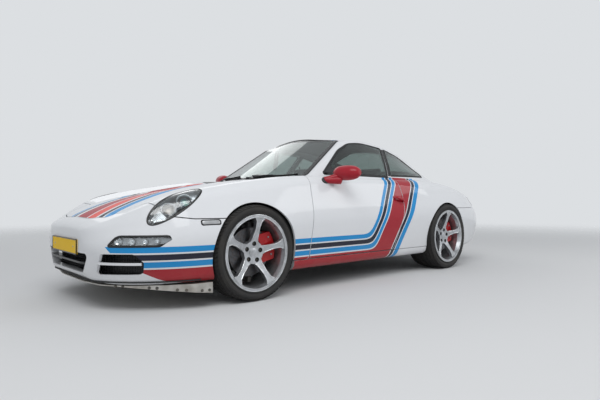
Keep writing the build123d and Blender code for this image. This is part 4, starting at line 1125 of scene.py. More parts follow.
class COUPE_OT_brakes(bpy.types.Operator):
    """Round covers and bridge bolts on the brake calipers"""

    bl_idname = "coupe.brakes"
    bl_label = "Caliper details"

    def execute(self, context):
        spots = [
            ("knuckle_left", "wheel_front_left"), ("knuckle_right", "wheel_front_right"),
            ("body", "wheel_rear_left"), ("body", "wheel_rear_right")]
        for body, wheel in spots:
            centre, side, _, _, width, depth = WHEELS[wheel]
            plane = width / 2 - depth - 0.047 + 0.017
            lean = radians(12)

            def stud(turn, reach, lift, profile, steps):
                """A turned stud on the caliper's face, a turn away from its middle."""
                a = pi - lean + turn
                at = centre + Vector((reach * cos(a), side * (plane + lift), reach * sin(a)))
                return lathe([(r, side * y) for r, y in profile], at, steps, closed=False)

            head = ((0.0001, 0.006), (0.0062, 0.006), (0.0075, 0.0045), (0.0075, -0.002), (0.0001, -0.002))
            cup = ((0.0001, 0.0025), (0.015, 0.0025), (0.0185, 0.0012), (0.0195, -0.001), (0.0001, -0.001))
            bolts = [
                stud(turn, reach, 0.0005, head, 6)
                for turn, reach in ((-0.36, 0.176), (0.0, 0.183), (0.36, 0.176))]
            parts = [stud(turn, 0.142, 0.0, cup, 28) for turn in (-0.2, 0.2)]
            name = wheel[6:]
            new_piece(f"caliper_covers_{name}", merged(parts), "caliper", body)
            new_piece(f"caliper_bolts_{name}", merged(bolts), "cast", body, 30)
        return {"FINISHED"}


# Columns: pane, what it is fixed to, which way its outer faces look, width of its black border
GLASS = (
    ("windscreen", "body", lambda p: Vector((0.55, 0, 0.83)), 0.03),
    ("rear_window", "body", lambda p: Vector((-0.45, 0, 0.89)), 0.024),
    ("quarter_glass", "body", lambda p: Vector((0, 0.85 if p.y > 0 else -0.85, 0.5)), 0.0),
    ("door_glass_left", "door_left", lambda p: Vector((0, 0.85, 0.5)), 0.0),
    ("door_glass_right", "door_right", lambda p: Vector((0, -0.85, 0.5)), 0.0))


class COUPE_OT_seals(bpy.types.Operator):
    """Rubber seals round the glass, and the black ceramic border printed behind them"""

    bl_idname = "coupe.seals"
    bl_label = "Window seals"

    def execute(self, context):
        wide = sizes().seal
        lip = [
            (-0.0035, -0.002), (-0.0035, 0.0022), (-0.001, 0.0034), (wide * 0.5, 0.0034),
            (wide * 0.9, 0.0022), (wide, 0.0004), (wide, -0.001)]
        for node, body, outwards, border in GLASS:
            faces = outer_faces(node, outwards)
            new_piece(f"{node}_seal", border_strip(faces, lip), "rubber", body, 50)
            if border:
                band = [
                    (wide - 0.002, -0.0006), (wide - 0.002, 0.0004), (wide + border, 0.0004),
                    (wide + border, -0.0006)]
                new_piece(
                    f"{node}_border", border_strip(faces, band), "gloss_black", body, 50)
            faces.free()
        # Columns: front edge, rear edge, half width and height of the pillar's face
        rows = (
            (-0.309, -0.337, 0.735, 0.897), (-0.3225, -0.3505, 0.723, 0.93), (-0.3595, -0.3905, 0.668, 1.03),
            (-0.392, -0.4305, 0.608, 1.12), (-0.407, -0.4495, 0.581, 1.163))
        skin = skin_of("body_sides")
        for name, side in SIDES:
            front = [(x, side * y, z) for x, _, y, z in rows]
            rear = [(x, side * y, z) for _, x, y, z in rows]
            cover = sheet_on(skin, (0, -side, -0.35), grid_between(front, rear, 14, 3), 0.0016)
            new_piece(f"pillar_cover_{name}", cover, "gloss_black", "body")
        return {"FINISHED"}


def tubs_from(work, aim_of, levels):
    """An open tub behind each border of a face. Levels are (scale, depth, share of flattening)."""
    parts = []
    for loop in border_loops(work):
        points, _ = even_run(loop, 0.008)
        centre = points.mean(axis=0)
        aim = np.array(aim_of(Vector(centre)).normalized())
        count, out, faces = len(points), [], []
        height = (points - centre) @ aim
        for scale, depth, flat in levels:
            level = centre + (points - centre) * scale - np.outer(
                height * (scale - 1 + flat), aim) - aim * depth
            out.extend(Vector(p) for p in level)
        for k in range(len(levels) - 1):
            a, b = k * count, (k + 1) * count
            faces.extend([a + i, b + i, b + (i + 1) % count, a + (i + 1) % count] for i in range(count))
        faces.append([(len(levels) - 1) * count + i for i in range(count)])
        parts.append((out, faces))
    return merged(parts)


def height_at(skin, frame, x, y):
    """How far a skin lies in front of a frame's plane, at a place in that plane."""
    start = frame @ Vector((x, y, 0.3))
    hit, _, _, _ = skin.ray_cast(start, -(frame.to_3x3() @ Vector((0, 0, 1))), 0.6)
    return (frame.inverted() @ hit).z if hit else 0.0


def projector(frame, x, y, radius, top, depth=0.055):
    """A round projector in a lamp's frame: bezel, bright cup and ball lens."""
    base = top - depth
    bezel = [
        (radius + 0.0085, base), (radius + 0.008, top - 0.006), (radius + 0.0045, top),
        (radius + 0.001, top - 0.0015), (radius - 0.002, top - 0.01), (radius - 0.003, base)]
    cup = [
        (radius - 0.0018, top - 0.01), (radius - 0.007, top - 0.022), (radius * 0.62, top - 0.03),
        (0.0001, top - 0.032), (0.0001, top - 0.034), (radius - 0.002, top - 0.034)]
    reach = radius * 0.76
    ball = [
        (max(0.0001, reach * sin(t)), top - 0.03 + reach * 0.62 * cos(t))
        for t in [pi / 2 * k / 9 for k in range(10)]]
    ball += [(reach, top - 0.033), (0.0001, top - 0.033)]
    shapes = [lathe(profile, (x, y, 0), 56, "Z") for profile in (bezel, cup, ball)]
    return [turned(shape, frame) for shape in shapes]


class COUPE_OT_headlamps(bpy.types.Operator):
    """Oval headlamps: clear covers in dark rims over silver tubs with round projectors"""

    bl_idname = "coupe.headlamps"
    bl_label = "Headlamps"

    def execute(self, context):
        outwards = both_ways(HEADLAMP.to_3x3() @ Vector((0, 0, 1)))
        faces = outer_faces("headlamps", outwards)
        cover = finished("headlamp_covers", shell_from(faces, 0.003), "lens", "body", 60)
        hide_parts("headlamps")
        rim = [
            (-0.0034, -0.012), (-0.0034, 0.0006), (-0.0005, 0.0024), (0.004, 0.0024), (0.007, 0.0008),
            (0.007, -0.012)]
        new_piece(
            "headlamp_rims", border_strip(faces, rim, 0.008), "gloss_black", "body", 50)
        levels = [
            (0.985, 0.006, 0.0), (0.975, 0.02, 0.1), (0.93, 0.05, 0.5), (0.86, 0.07, 0.9), (0.78, 0.078, 1.0)]
        new_piece("headlamp_tubs", tubs_from(faces, outwards, levels), "tub", "body")
        faces.free()
        skin = skin_of("headlamps")
        bezels, cups, balls, low_balls = [], [], [], []
        # Columns: place along and across the lamp, radius, where its ball goes
        for x, y, radius, kept in ((-0.07, 0.002, 0.043, balls), (0.052, -0.002, 0.04, low_balls)):
            top = min(
                height_at(skin, HEADLAMP, x + dx, y + dy) for dx in (-radius, 0, radius)
                for dy in (-radius, 0, radius)) - 0.01
            for store, shape in zip((bezels, cups, kept), projector(HEADLAMP, x, y, radius, top)):
                store += [shape, mirrored(shape)]
        # Upright ribs at the lower front, stepped like a moulded reflector
        ribs = []
        for i in range(8):
            x = 0.104 + 0.0085 * i
            half = 0.05 * (1 - (x / 0.2) ** 2) ** 0.5
            top = height_at(skin, HEADLAMP, x, 0) - 0.026 - 0.0015 * (i % 2)
            rib = rounded_box((0.006, 2 * half, 0.01), 0.002, HEADLAMP @ Matrix.Translation((x, 0, top)), 2)
            ribs += [rib, mirrored(rib)]
        new_piece("headlamp_bezels", merged(bezels), "tub", "body")
        new_piece("headlamp_cups", merged(cups), "gloss_black", "body")
        # The upper ball lenses carry a painted teal-green glint in their colour
        new_piece("headlamp_balls", merged(balls), "glint_painted_lens", "body")
        new_piece("headlamp_low_balls", merged(low_balls), "dark_steel", "body")
        new_piece("headlamp_ribs", merged(ribs), "chrome", "body")
        return {"FINISHED"}


class COUPE_OT_front_lamps(bpy.types.Operator):
    """Slot lamps in the front bumper and the small markers before the wheels"""

    bl_idname = "coupe.front_lamps"
    bl_label = "Bumper lamps and markers"

    def execute(self, context):
        outwards = both_ways(Vector((0.8, 0.58, 0.1)))
        faces = outer_faces("bumper_lamps", outwards)
        cover = finished("slot_lamp_covers", shell_from(faces, 0.0025), "lens", "body", 60)
        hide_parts("bumper_lamps")
        frame_line = [
            (-0.0018, -0.01), (-0.0018, 0.0008), (0.001, 0.0026), (0.008, 0.0024), (0.0125, 0.0004),
            (0.0125, -0.01)]
        new_piece(
            "slot_lamp_frames", border_strip(faces, frame_line, 0.006), "gloss_black", "body",
            50)
        levels = [(0.96, 0.005, 0.0), (0.93, 0.016, 0.0), (0.88, 0.024, 0.0), (0.8, 0.027, 0.0)]
        new_piece("slot_lamp_tubs", tubs_from(faces, outwards, levels), "tub", "body")
        faces.free()
        skin, parts, bulbs = skin_of("bumper_lamps"), [], []
        for y, z, radius in (
                (0.612, 0.43, 0.024), (0.672, 0.43, 0.02), (0.722, 0.431, 0.016), (0.761, 0.432, 0.012)):
            hit, normal, _, _ = skin.ray_cast(Vector((2.5, y, z)), Vector((-1, 0, 0)))
            if hit is None:
                continue
            if normal.x < 0:
                normal = -normal
            local = frame_at(hit - normal * 0.023, (0, 0, 1), normal)
            cup = [
                (radius, 0.015), (radius - 0.0015, 0.0155), (radius * 0.72, 0.006), (radius * 0.3, 0.002),
                (0.0001, 0.0015), (0.0001, 0.0), (radius, 0.0)]
            bulb = [
                (max(0.0001, radius * 0.3 * sin(t)), 0.004 + radius * 0.42 * cos(t))
                for t in [pi / 2 * k / 5 for k in range(6)]]
            for store, profile in ((parts, cup), (bulbs, bulb + [(0.0001, 0.002)])):
                shape = turned(lathe(profile, (0, 0, 0), 32, "Z"), local)
                store += [shape, mirrored(shape)]
        new_piece("slot_lamp_cups", merged(parts), "chrome", "body")
        new_piece("slot_lamp_bulbs", merged(bulbs), "lens", "body")
        skin = skin_of("front_bumper")
        at, towards, along = (1.604, 0.8, 0.534), (0, -1, 0), (-1, 0, 0.02)
        bezel = pad_on(
            skin, at, towards, along, rounded_outline(0.066, 0.0175, 0.012, 4),
            [(0.995, 0.001), (0.97, 0.0024), (0.9, 0.0022), (0.885, 0.0012)])
        lens = pad_on(
            skin, at, towards, along, rounded_outline(0.058, 0.0118, 0.009, 4),
            [(0.995, 0.0018), (0.95, 0.0036), (0.7, 0.0044)], 0.001)
        new_piece("marker_bezels", merged([bezel, mirrored(bezel)]), "gloss_black", "body")
        new_piece("marker_lenses", merged([lens, mirrored(lens)]), "cast", "body")
        return {"FINISHED"}


class COUPE_OT_tail_lamps(bpy.types.Operator):
    """Dark rims round the red tail lamps"""

    bl_idname = "coupe.tail_lamps"
    bl_label = "Tail lamps"

    def execute(self, context):
        outwards = both_ways(Vector((-0.72, 0.62, 0.25)))
        faces = outer_faces("tail_lamps", outwards)
        rim = [
            (-0.0016, -0.006), (-0.0016, 0.0006), (0.001, 0.0016), (0.0042, 0.0012), (0.005, -0.0002),
            (0.005, -0.006)]
        new_piece(
            "tail_lamp_rims", border_strip(faces, rim, 0.008), "gloss_black", "body", 50)
        faces.free()
        return {"FINISHED"}


class COUPE_OT_nose(bpy.types.Operator):
    """Mesh behind the nose openings, and the plate frames and screws"""

    bl_idname = "coupe.nose"
    bl_label = "Nose details"

    def execute(self, context):
        black = "plastic"
        bar = rounded_box((0.003, 0.0024, 0.13), 0.0008, Matrix.Translation((2.1256, -0.384, 0.28)), 1)
        repeated(
            "centre_mesh_bars", bar, row_tree(), black, "body", "black_plastic", Count=65, Step=(0, 0.012, 0))
        rod = rounded_box((0.003, 0.782, 0.0024), 0.0008, Matrix.Translation((2.1262, 0, 0.22)), 1)
        repeated(
            "centre_mesh_rows", rod, row_tree(), black, "body", "black_plastic", Count=11, Step=(0, 0, 0.012))
        along = Vector((-0.176, 0.308, 0)).normalized()
        out = Vector((along.y, -along.x, 0))
        for name, side in SIDES:
            flip = (lambda part: part) if side > 0 else mirrored
            frame = frame_at(Vector((2.108, 0.404, 0.288)) + out * 0.004, along, (0, 0, 1))
            bar = flip(
                rounded_box((0.0024, 0.003, 0.15), 0.0008, frame @ Matrix.Translation((0.012, 0, 0)), 1))
            step = along * 0.012
            repeated(
                f"side_mesh_bars_{name}", bar, row_tree(), black, "body", "black_plastic", Count=28,
                Step=(step.x, side * step.y, 0))
            rod = flip(
                rounded_box((0.335, 0.003, 0.0024), 0.0008, frame @ Matrix.Translation((0.172, 0, -0.066)), 1)
            )
            repeated(
                f"side_mesh_rows_{name}", rod, row_tree(), black, "body", "black_plastic", Count=12,
                Step=(0, 0, 0.012))
        # Frames and screws of the blank plates
        frames, screws = [], []
        for x, facing, low, high in ((2.221, 1, 0.334, 0.426), (-2.221, -1, 0.452, 0.552)):
            z = (low + high) / 2
            outline = rounded_outline(0.2625, (high - low) / 2 + 0.0005, 0.006, 4)
            path = [(x, facing * px, z + py) for px, py in outline]
            edge = [
                (-0.005, -0.004), (-0.005, 0.0012), (-0.0035, 0.002), (0.001, 0.002), (0.0022, 0.0008),
                (0.0022, -0.004)]
            frames.append(sweep(path, edge, True, [(facing, 0, 0)] * len(path)))
            for y in (-0.2, 0.2):
                head = [(0.0001, 0.0022), (0.004, 0.002), (0.006, 0.0008), (0.0062, -0.001), (0.0001, -0.001)]
                screws.append(lathe([(r, facing * h) for r, h in head], (x, y, z), 20, "X", False))
        new_piece("plate_frames", merged(frames), "gloss_black", "body")
        new_piece("plate_screws", merged(screws), "steel", "body", 30)
        return {"FINISHED"}


def landed(skin, point, towards, lift=0.0):
    """Where a point pushed along a direction meets a skin, raised by lift, and the normal there."""
    towards = Vector(towards).normalized()
    hit, normal, _, _ = skin.ray_cast(Vector(point) - towards * 0.4, towards, 1.2)
    if hit is None:
        return Vector(point), -towards
    if normal.dot(towards) > 0:
        normal = -normal
    return hit + normal * lift, normal


def on_both(parts):
    """Parts of the left side with their mirrors, as one."""
    return merged(list(parts) + [mirrored(part) for part in parts])


def hex_bolt(at, normal, radius, height=0.005, washer=1.5):
    """A hexagon bolt head on its washer, standing on a surface."""
    frame = frame_at(at, Vector(normal).orthogonal(), normal)
    head = [
        (0.0001, height), (radius * 0.8, height), (radius, height * 0.8), (radius, 0.0008), (0.0001, 0.0008)]
    plate = [
        (0.0001, 0.0014), (radius * washer - 0.0006, 0.0014), (radius * washer, 0.0009),
        (radius * washer, -0.001), (0.0001, -0.001)]
    return merged([spun(head, frame, 6), spun(plate, frame, 20)])


class COUPE_OT_skid_trim(bpy.types.Operator):
    """Paired bolts on the skid plate and the rubber lip over it"""

    bl_idname = "coupe.skid_trim"
    bl_label = "Skid plate trim"

    def execute(self, context):
        skin = skin_of("skid_plate")
        bolts = []
        # Columns: along the car and across it just outside the plate, and height
        for x, y, z in (
            (1.602, 0.83, 0.112), (1.652, 0.83, 0.114), (1.752, 0.8, 0.124), (1.802, 0.78, 0.128),
            (1.902, 0.71, 0.143), (1.944, 0.69, 0.146), (2.052, 0.57, 0.155), (2.082, 0.53, 0.155),
        ):
            at, normal, _, _ = skin.find_nearest(Vector((x, y, z)))
            if normal.y < 0:
                normal = -normal
            bolts.append(hex_bolt(at, normal, sizes().bolt / 2))
        new_piece("skid_plate_bolts", on_both(bolts), "dark_steel", "body", 30)
        bumper, path, ups = skin_of("front_bumper"), [], []
        for i in range(91):
            turn = radians(-66 + 132 * i / 90)
            way = Vector((-cos(turn), -sin(turn), 0))
            at, normal = landed(bumper, Vector((1.3, 0, 0.187)) - way * 0.9, way)
            if at.x > 1.62:
                path.append(at)
                ups.append((0, 0, 1))
        lip = [(-0.006, -0.009), (0.005, -0.01), (0.0075, -0.007), (0.006, -0.001), (-0.006, 0.0)]
        new_piece(
            "nose_lip", sweep(path, [(-a, u) for a, u in lip], False, ups), "rubber", "body",
            50)
        return {"FINISHED"}


class COUPE_OT_slats(bpy.types.Operator):
    """White bars across the nose openings and the grille of the engine lid"""

    bl_idname = "coupe.slats"
    bl_label = "Slats"

    def execute(self, context):
        skin, parts = skin_of("bumper_grilles"), []
        section = [
            (-0.004, -0.0075), (0.0022, -0.0075), (0.0042, -0.0045), (0.0048, 0.0), (0.0042, 0.0045),
            (0.0022, 0.0075), (-0.004, 0.0075)]
        path = []
        for i in range(15):
            path.append(landed(skin, (2.2, 0.49 + 0.212 * i / 14, 0.2955), (-1, 0, 0))[0])
        parts.append(sweep(path, [(-a, u) for a, u in section]))
        new_piece("intake_bars", on_both(parts), "white", "body")
        lid, slats = skin_of("engine_lid"), []
        for i in range(9):
            x = -1.5 - 0.03 * i
            half = 0.3 - 0.004 * i
            path = [landed(lid, (x, half * (2 * k / 16 - 1), 1.2), (0, 0, -1), 0.0035)[0] for k in range(17)]
            ups = [landed(lid, p, (0, 0, -1))[1] for p in path]
            blade = [
                (-0.008, -0.004), (0.01, -0.001), (0.011, 0.002), (0.008, 0.0034), (-0.006, 0.001),
                (-0.009, -0.002)]
            slats.append(sweep(path, blade, False, ups))
        first = [(-1.482, y, 1.2) for y in (0.325, 0.1, -0.1, -0.325)]
        second = [(-1.762, y, 1.2) for y in (0.29, 0.1, -0.1, -0.29)]
        pan = sheet_on(lid, (0, 0, -1), grid_between(first, second, 20, 12), 0.0012)
        new_piece("lid_grille_pan", pan, "plastic", "engine_lid")
        new_piece("lid_grille_slats", merged(slats), "white", "engine_lid")
        return {"FINISHED"}


class COUPE_OT_handles(bpy.types.Operator):
    """Bow handles over cups, key caps, and a near-black strip round the fuel flap that paints the shade of
    its gap
    """

    bl_idname = "coupe.handles"
    bl_label = "Door handles and flap"

    def execute(self, context):
        left = skin_of("door_left")
        ends = [Vector((-0.256, 0.9, 0.706)), Vector((-0.384, 0.9, 0.672))]
        along = (ends[1] - ends[0]).normalized()
        middle = (ends[0] + ends[1]) / 2
        cup = pad_on(
            left, middle + Vector((0, 0, 0.001)), (0, -1, 0), along, oval(0.056, 0.027, 40),
            [(0.99, 0.001), (0.93, 0.0014), (0.85, 0.0008)])
        pair("handle_cup", cup, "flank", "door_*")
        path, ups = [], []
        for i in range(25):
            t = i / 24
            at, normal = landed(left, ends[0].lerp(ends[1], t), (0, -1, 0))
            lift = 0.032 * (1 - (2 * t - 1) ** 4)
            path.append(at + normal * (lift - 0.004))
            ups.append(normal)
        grip = oval(0.013, 0.008, 16)
        pair("door_handle", sweep(path, grip, False, ups), "red", "door_*", 50)
        at, normal = landed(left, (-0.405, 0.9, 0.664), (0, -1, 0))
        frame = frame_at(at, (0, 0, 1), normal)
        key = [(0.0001, 0.0022), (0.006, 0.0022), (0.0072, 0.0012), (0.0074, -0.001), (0.0001, -0.001)]
        pair("key_cap", spun(key, frame, 24), "plastic", "door_*")
        # Painted shade: the fuel flap is drawn only as a near-black strip round its outline, standing for the
        # shadow in its gap
        wing = skin_of("front_fenders")
        at, normal = landed(wing, (0.985, -0.95, 0.77), (0, 1, -0.35))
        frame = frame_at(at, (1, 0, 0), normal)
        path = [landed(wing, frame @ Vector((x, y, 0)), -normal)[0] for x, y in ring(0.074, 72)]
        gap_shade_strip = [(-0.0016, -0.001), (-0.0016, 0.0004), (0.0016, 0.0004), (0.0016, -0.001)]
        new_piece(
            "fuel_flap_gap_shade", sweep(path, gap_shade_strip, True, [normal] * len(path)), "rubber", "body")
        return {"FINISHED"}


class COUPE_OT_mirrors(bpy.types.Operator):
    """Black feet, sail panels and glass of the door mirrors"""

    bl_idname = "coupe.mirrors"
    bl_label = "Mirror details"

    def execute(self, context):
        foot, neck = Vector((0.552, 0.772, 0.833)), Vector((0.44, 0.85, 0.872))
        skin, door, glass = skin_of("mirror_left"), skin_of("door_left"), skin_of("door_glass_left")
        # A flared root where the foot stands on the door
        at = landed(door, foot + Vector((-0.02, 0.2, 0.0)), (0, -1, 0))[0]
        root = pad_on(
            door, at, (-0.2, -1, -0.3), (1, 0, -0.2), oval(0.052, 0.03, 40),
            [(0.98, 0.004), (0.9, 0.008), (0.75, 0.011), (0.5, 0.013)])
        pair("mirror_foot", root, "plastic", "door_*", 50)
        fairing = [
            (0.0001, 0.0), (0.0245, 0.002), (0.0262, 0.03), (0.0285, 0.07), (0.031, 0.105), (0.032, 0.135),
            (0.0001, 0.15)]
        shell = turned(lathe(fairing, (0, 0, 0), 40, "Z", False), frame_at(foot, (0, 0, 1), neck - foot))
        pair("mirror_fairing", shell, "red", "door_*", 50)
        first = [(0.452, 0.9, 0.896), (0.352, 0.9, 0.978)]
        second = [(0.328, 0.9, 0.896), (0.348, 0.9, 0.98)]
        sail = sheet_on(glass, (0, -1, 0), grid_between(first, second, 12, 4), 0.0022)
        pair("mirror_sail", sail, "plastic", "door_*")
        across = Vector((-sin(radians(14)), cos(radians(14)), 0))
        back = pad_on(
            skin, (0.414, 0.892, 0.89), (1, 0.24, 0), across, rounded_outline(0.093, 0.046, 0.038, 8),
            [(0.99, 0.0012), (0.97, 0.0018), (0.93, 0.001)])
        pane = pad_on(
            skin, (0.414, 0.892, 0.89), (1, 0.24, 0), across, rounded_outline(0.086, 0.04, 0.034, 8),
            [(0.99, 0.0014), (0.8, 0.0018), (0.5, 0.0018)])
        pair("mirror_bezel", back, "gloss_black", "door_*")
        pair("mirror_glass", pane, "chrome", "door_*")
        return {"FINISHED"}


class COUPE_OT_wipers(bpy.types.Operator):
    """Two wipers parked along the foot of the windscreen, and the washer jets"""

    bl_idname = "coupe.wipers"
    bl_label = "Wipers"

    def execute(self, context):
        skin = skin_of("windscreen", "cowl")
        blades, arms = [], []
        foot_line = (
            (0.0, 0.7675), (0.1, 0.7675), (0.2, 0.7575), (0.3, 0.73), (0.4, 0.7025), (0.5, 0.665),
            (0.6, 0.615))
        # Columns: pivot across the car, then the blade's two ends across the car
        for pivot, start, end in ((0.06, 0.09, 0.54), (-0.5, -0.09, -0.56)):
            path, ups = [], []
            for i in range(25):
                y = start + (end - start) * i / 24
                x = float(np.interp(abs(y), *zip(*foot_line))) - 0.03
                at, normal = landed(skin, (x, y, 1.3), (0, 0, -1), 0.011)
                path.append(at)
                ups.append(normal)
            # The rubber has a wide back on top and a thin lip down towards the glass
            lip = [
                (-0.005, 0.004), (-0.0012, -0.001), (-0.0006, -0.01), (0.0006, -0.01), (0.0012, -0.001),
                (0.005, 0.004), (0.002, 0.006), (-0.002, 0.006)]
            blades.append(sweep(path, lip, False, ups))
            base, normal = landed(
                skin, (float(np.interp(abs(pivot), *zip(*foot_line))) + 0.008, pivot, 1.3), (0, 0, -1), 0.002)
            middle = path[12]
            run = [
                base + normal * 0.011, base.lerp(middle, 0.3) + normal * 0.014,
                base.lerp(middle, 0.7) + normal * 0.013, middle + normal * 0.007]
            arms.append(sweep(run, ring(0.0062, 10, 0.6), False, [normal] * 4))
            cap = [
                (0.0001, 0.02), (0.01, 0.019), (0.0135, 0.014), (0.014, 0.0), (0.012, -0.006),
                (0.0001, -0.006)]
            arms.append(turned(lathe(cap, (0, 0, 0), 28, "Z", False), frame_at(base, (1, 0, 0), normal)))
        new_piece("wiper_blades", merged(blades), "rubber", "body", 50)
        new_piece("wiper_arms", merged(arms), "plastic", "body", 50)
        return {"FINISHED"}


class COUPE_OT_tail(bpy.types.Operator):
    """Polished exhaust tips, the third brake lamp, and the reflectors of the rear bumper"""

    bl_idname = "coupe.tail"
    bl_label = "Rear details"

    def execute(self, context):
        tips = []
        for y in (0.455, 0.535, -0.455, -0.535):
            tip = [
                (0.0355, -2.08), (0.0372, -2.15), (0.0378, -2.178), (0.0365, -2.1835), (0.034, -2.183),
                (0.0318, -2.176), (0.0312, -2.09)]
            tips.append(lathe(tip, (0, y, 0.29), 56, "X"))
        new_piece("exhaust_tips", merged(tips), "polished", "body")
        skin = skin_of("rear_bumper")
        pad = pad_on(
            skin, (-2.1, 0.52, 0.4), (1, -0.35, 0), (0, 1, 0), rounded_outline(0.055, 0.014, 0.01, 4),
            [(0.99, 0.0016), (0.93, 0.003), (0.7, 0.0034)])
        new_piece("rear_reflectors", on_both([pad]), "tail", "body")
        lid = skin_of("engine_lid")
        lamp = pad_on(
            lid, (-1.43, 0, 0.95), (0, 0, -1), (0, 1, 0), rounded_outline(0.16, 0.013, 0.01, 4),
            [(0.995, 0.004), (0.95, 0.007), (0.7, 0.0085)])
        new_piece("third_brake_lamp", lamp, "tail", "engine_lid")
        return {"FINISHED"}


def prism(profile, low, high):
    """A closed solid: an (x, z) profile from one place across the car to another."""
    count = len(profile)
    points = [Vector((x, y, z)) for y in (low, high) for x, z in profile]
    faces = [list(range(count)), list(range(count, 2 * count))[::-1]]
    faces += [[(i + 1) % count, i, count + i, count + (i + 1) % count] for i in range(count)]
    return points, faces


def puffed(name, shape, seams, cap=0.012, voxel=0.008):
    """A padded cover in its own object: the shape is remeshed evenly, blown up as cloth by the
    cap at most, smoothed, and drawn in along its seams. seams gives a point's distance to one."""
    obj = linked(name, mesh_of(name, shape))
    even = obj.modifiers.new("Even", "REMESH")
    even.mode, even.voxel_size = "VOXEL", voxel
    even_mesh = bpy.data.meshes.new_from_object(obj.evaluated_get(bpy.context.evaluated_depsgraph_get()))
    obj.modifiers.clear()
    obj.data = even_mesh
    start = np.array([v.co for v in even_mesh.vertices])
    cloth = obj.modifiers.new("Cover", "CLOTH")
    cloth.settings.use_pressure = True
    cloth.settings.uniform_pressure_force = 4.0
    cloth.settings.effector_weights.gravity = 0.0
    cloth.collision_settings.use_collision = False
    for step in range(1, 21):
        bpy.context.scene.frame_set(step)
    blown = obj.evaluated_get(bpy.context.evaluated_depsgraph_get()).data
    moved = np.array([v.co for v in blown.vertices]) - start
    reach = np.linalg.norm(moved, axis=1)[:, None]
    start = start + moved * np.minimum(1.0, cap / np.maximum(reach, 1e-9))
    obj.modifiers.clear()
    bpy.context.scene.frame_set(1)
    work = bmesh.new()
    work.from_mesh(even_mesh)
    for vert, at in zip(work.verts, start):
        vert.co = at
    for _ in range(4):
        bmesh.ops.smooth_vert(
            work, verts=work.verts, factor=0.5, use_axis_x=True, use_axis_y=True, use_axis_z=True)
    bmesh.ops.subdivide_edges(work, edges=work.edges, cuts=1, use_grid_fill=True)
    bmesh.ops.smooth_vert(
        work, verts=work.verts, factor=0.5, use_axis_x=True, use_axis_y=True, use_axis_z=True)
    work.normal_update()
    for vert in work.verts:
        gap = seams(vert.co)
        if gap < 0.012:
            vert.co -= vert.normal * 0.0055 * (1 - gap / 0.012) ** 2
    work.to_mesh(even_mesh)
    work.free()
    bpy.data.objects.remove(obj)
    return even_mesh


def shifted(mesh, side, across, name):
    """A copy of a mesh moved across the car, mirrored for the right-hand side."""
    copy = mesh.copy()
    copy.name = name
    work = bmesh.new()
    work.from_mesh(copy)
    for vert in work.verts:
        vert.co.y = side * (vert.co.y + across)
    if side < 0:
        bmesh.ops.reverse_faces(work, faces=work.faces)
    work.to_mesh(copy)
    work.free()
    return copy


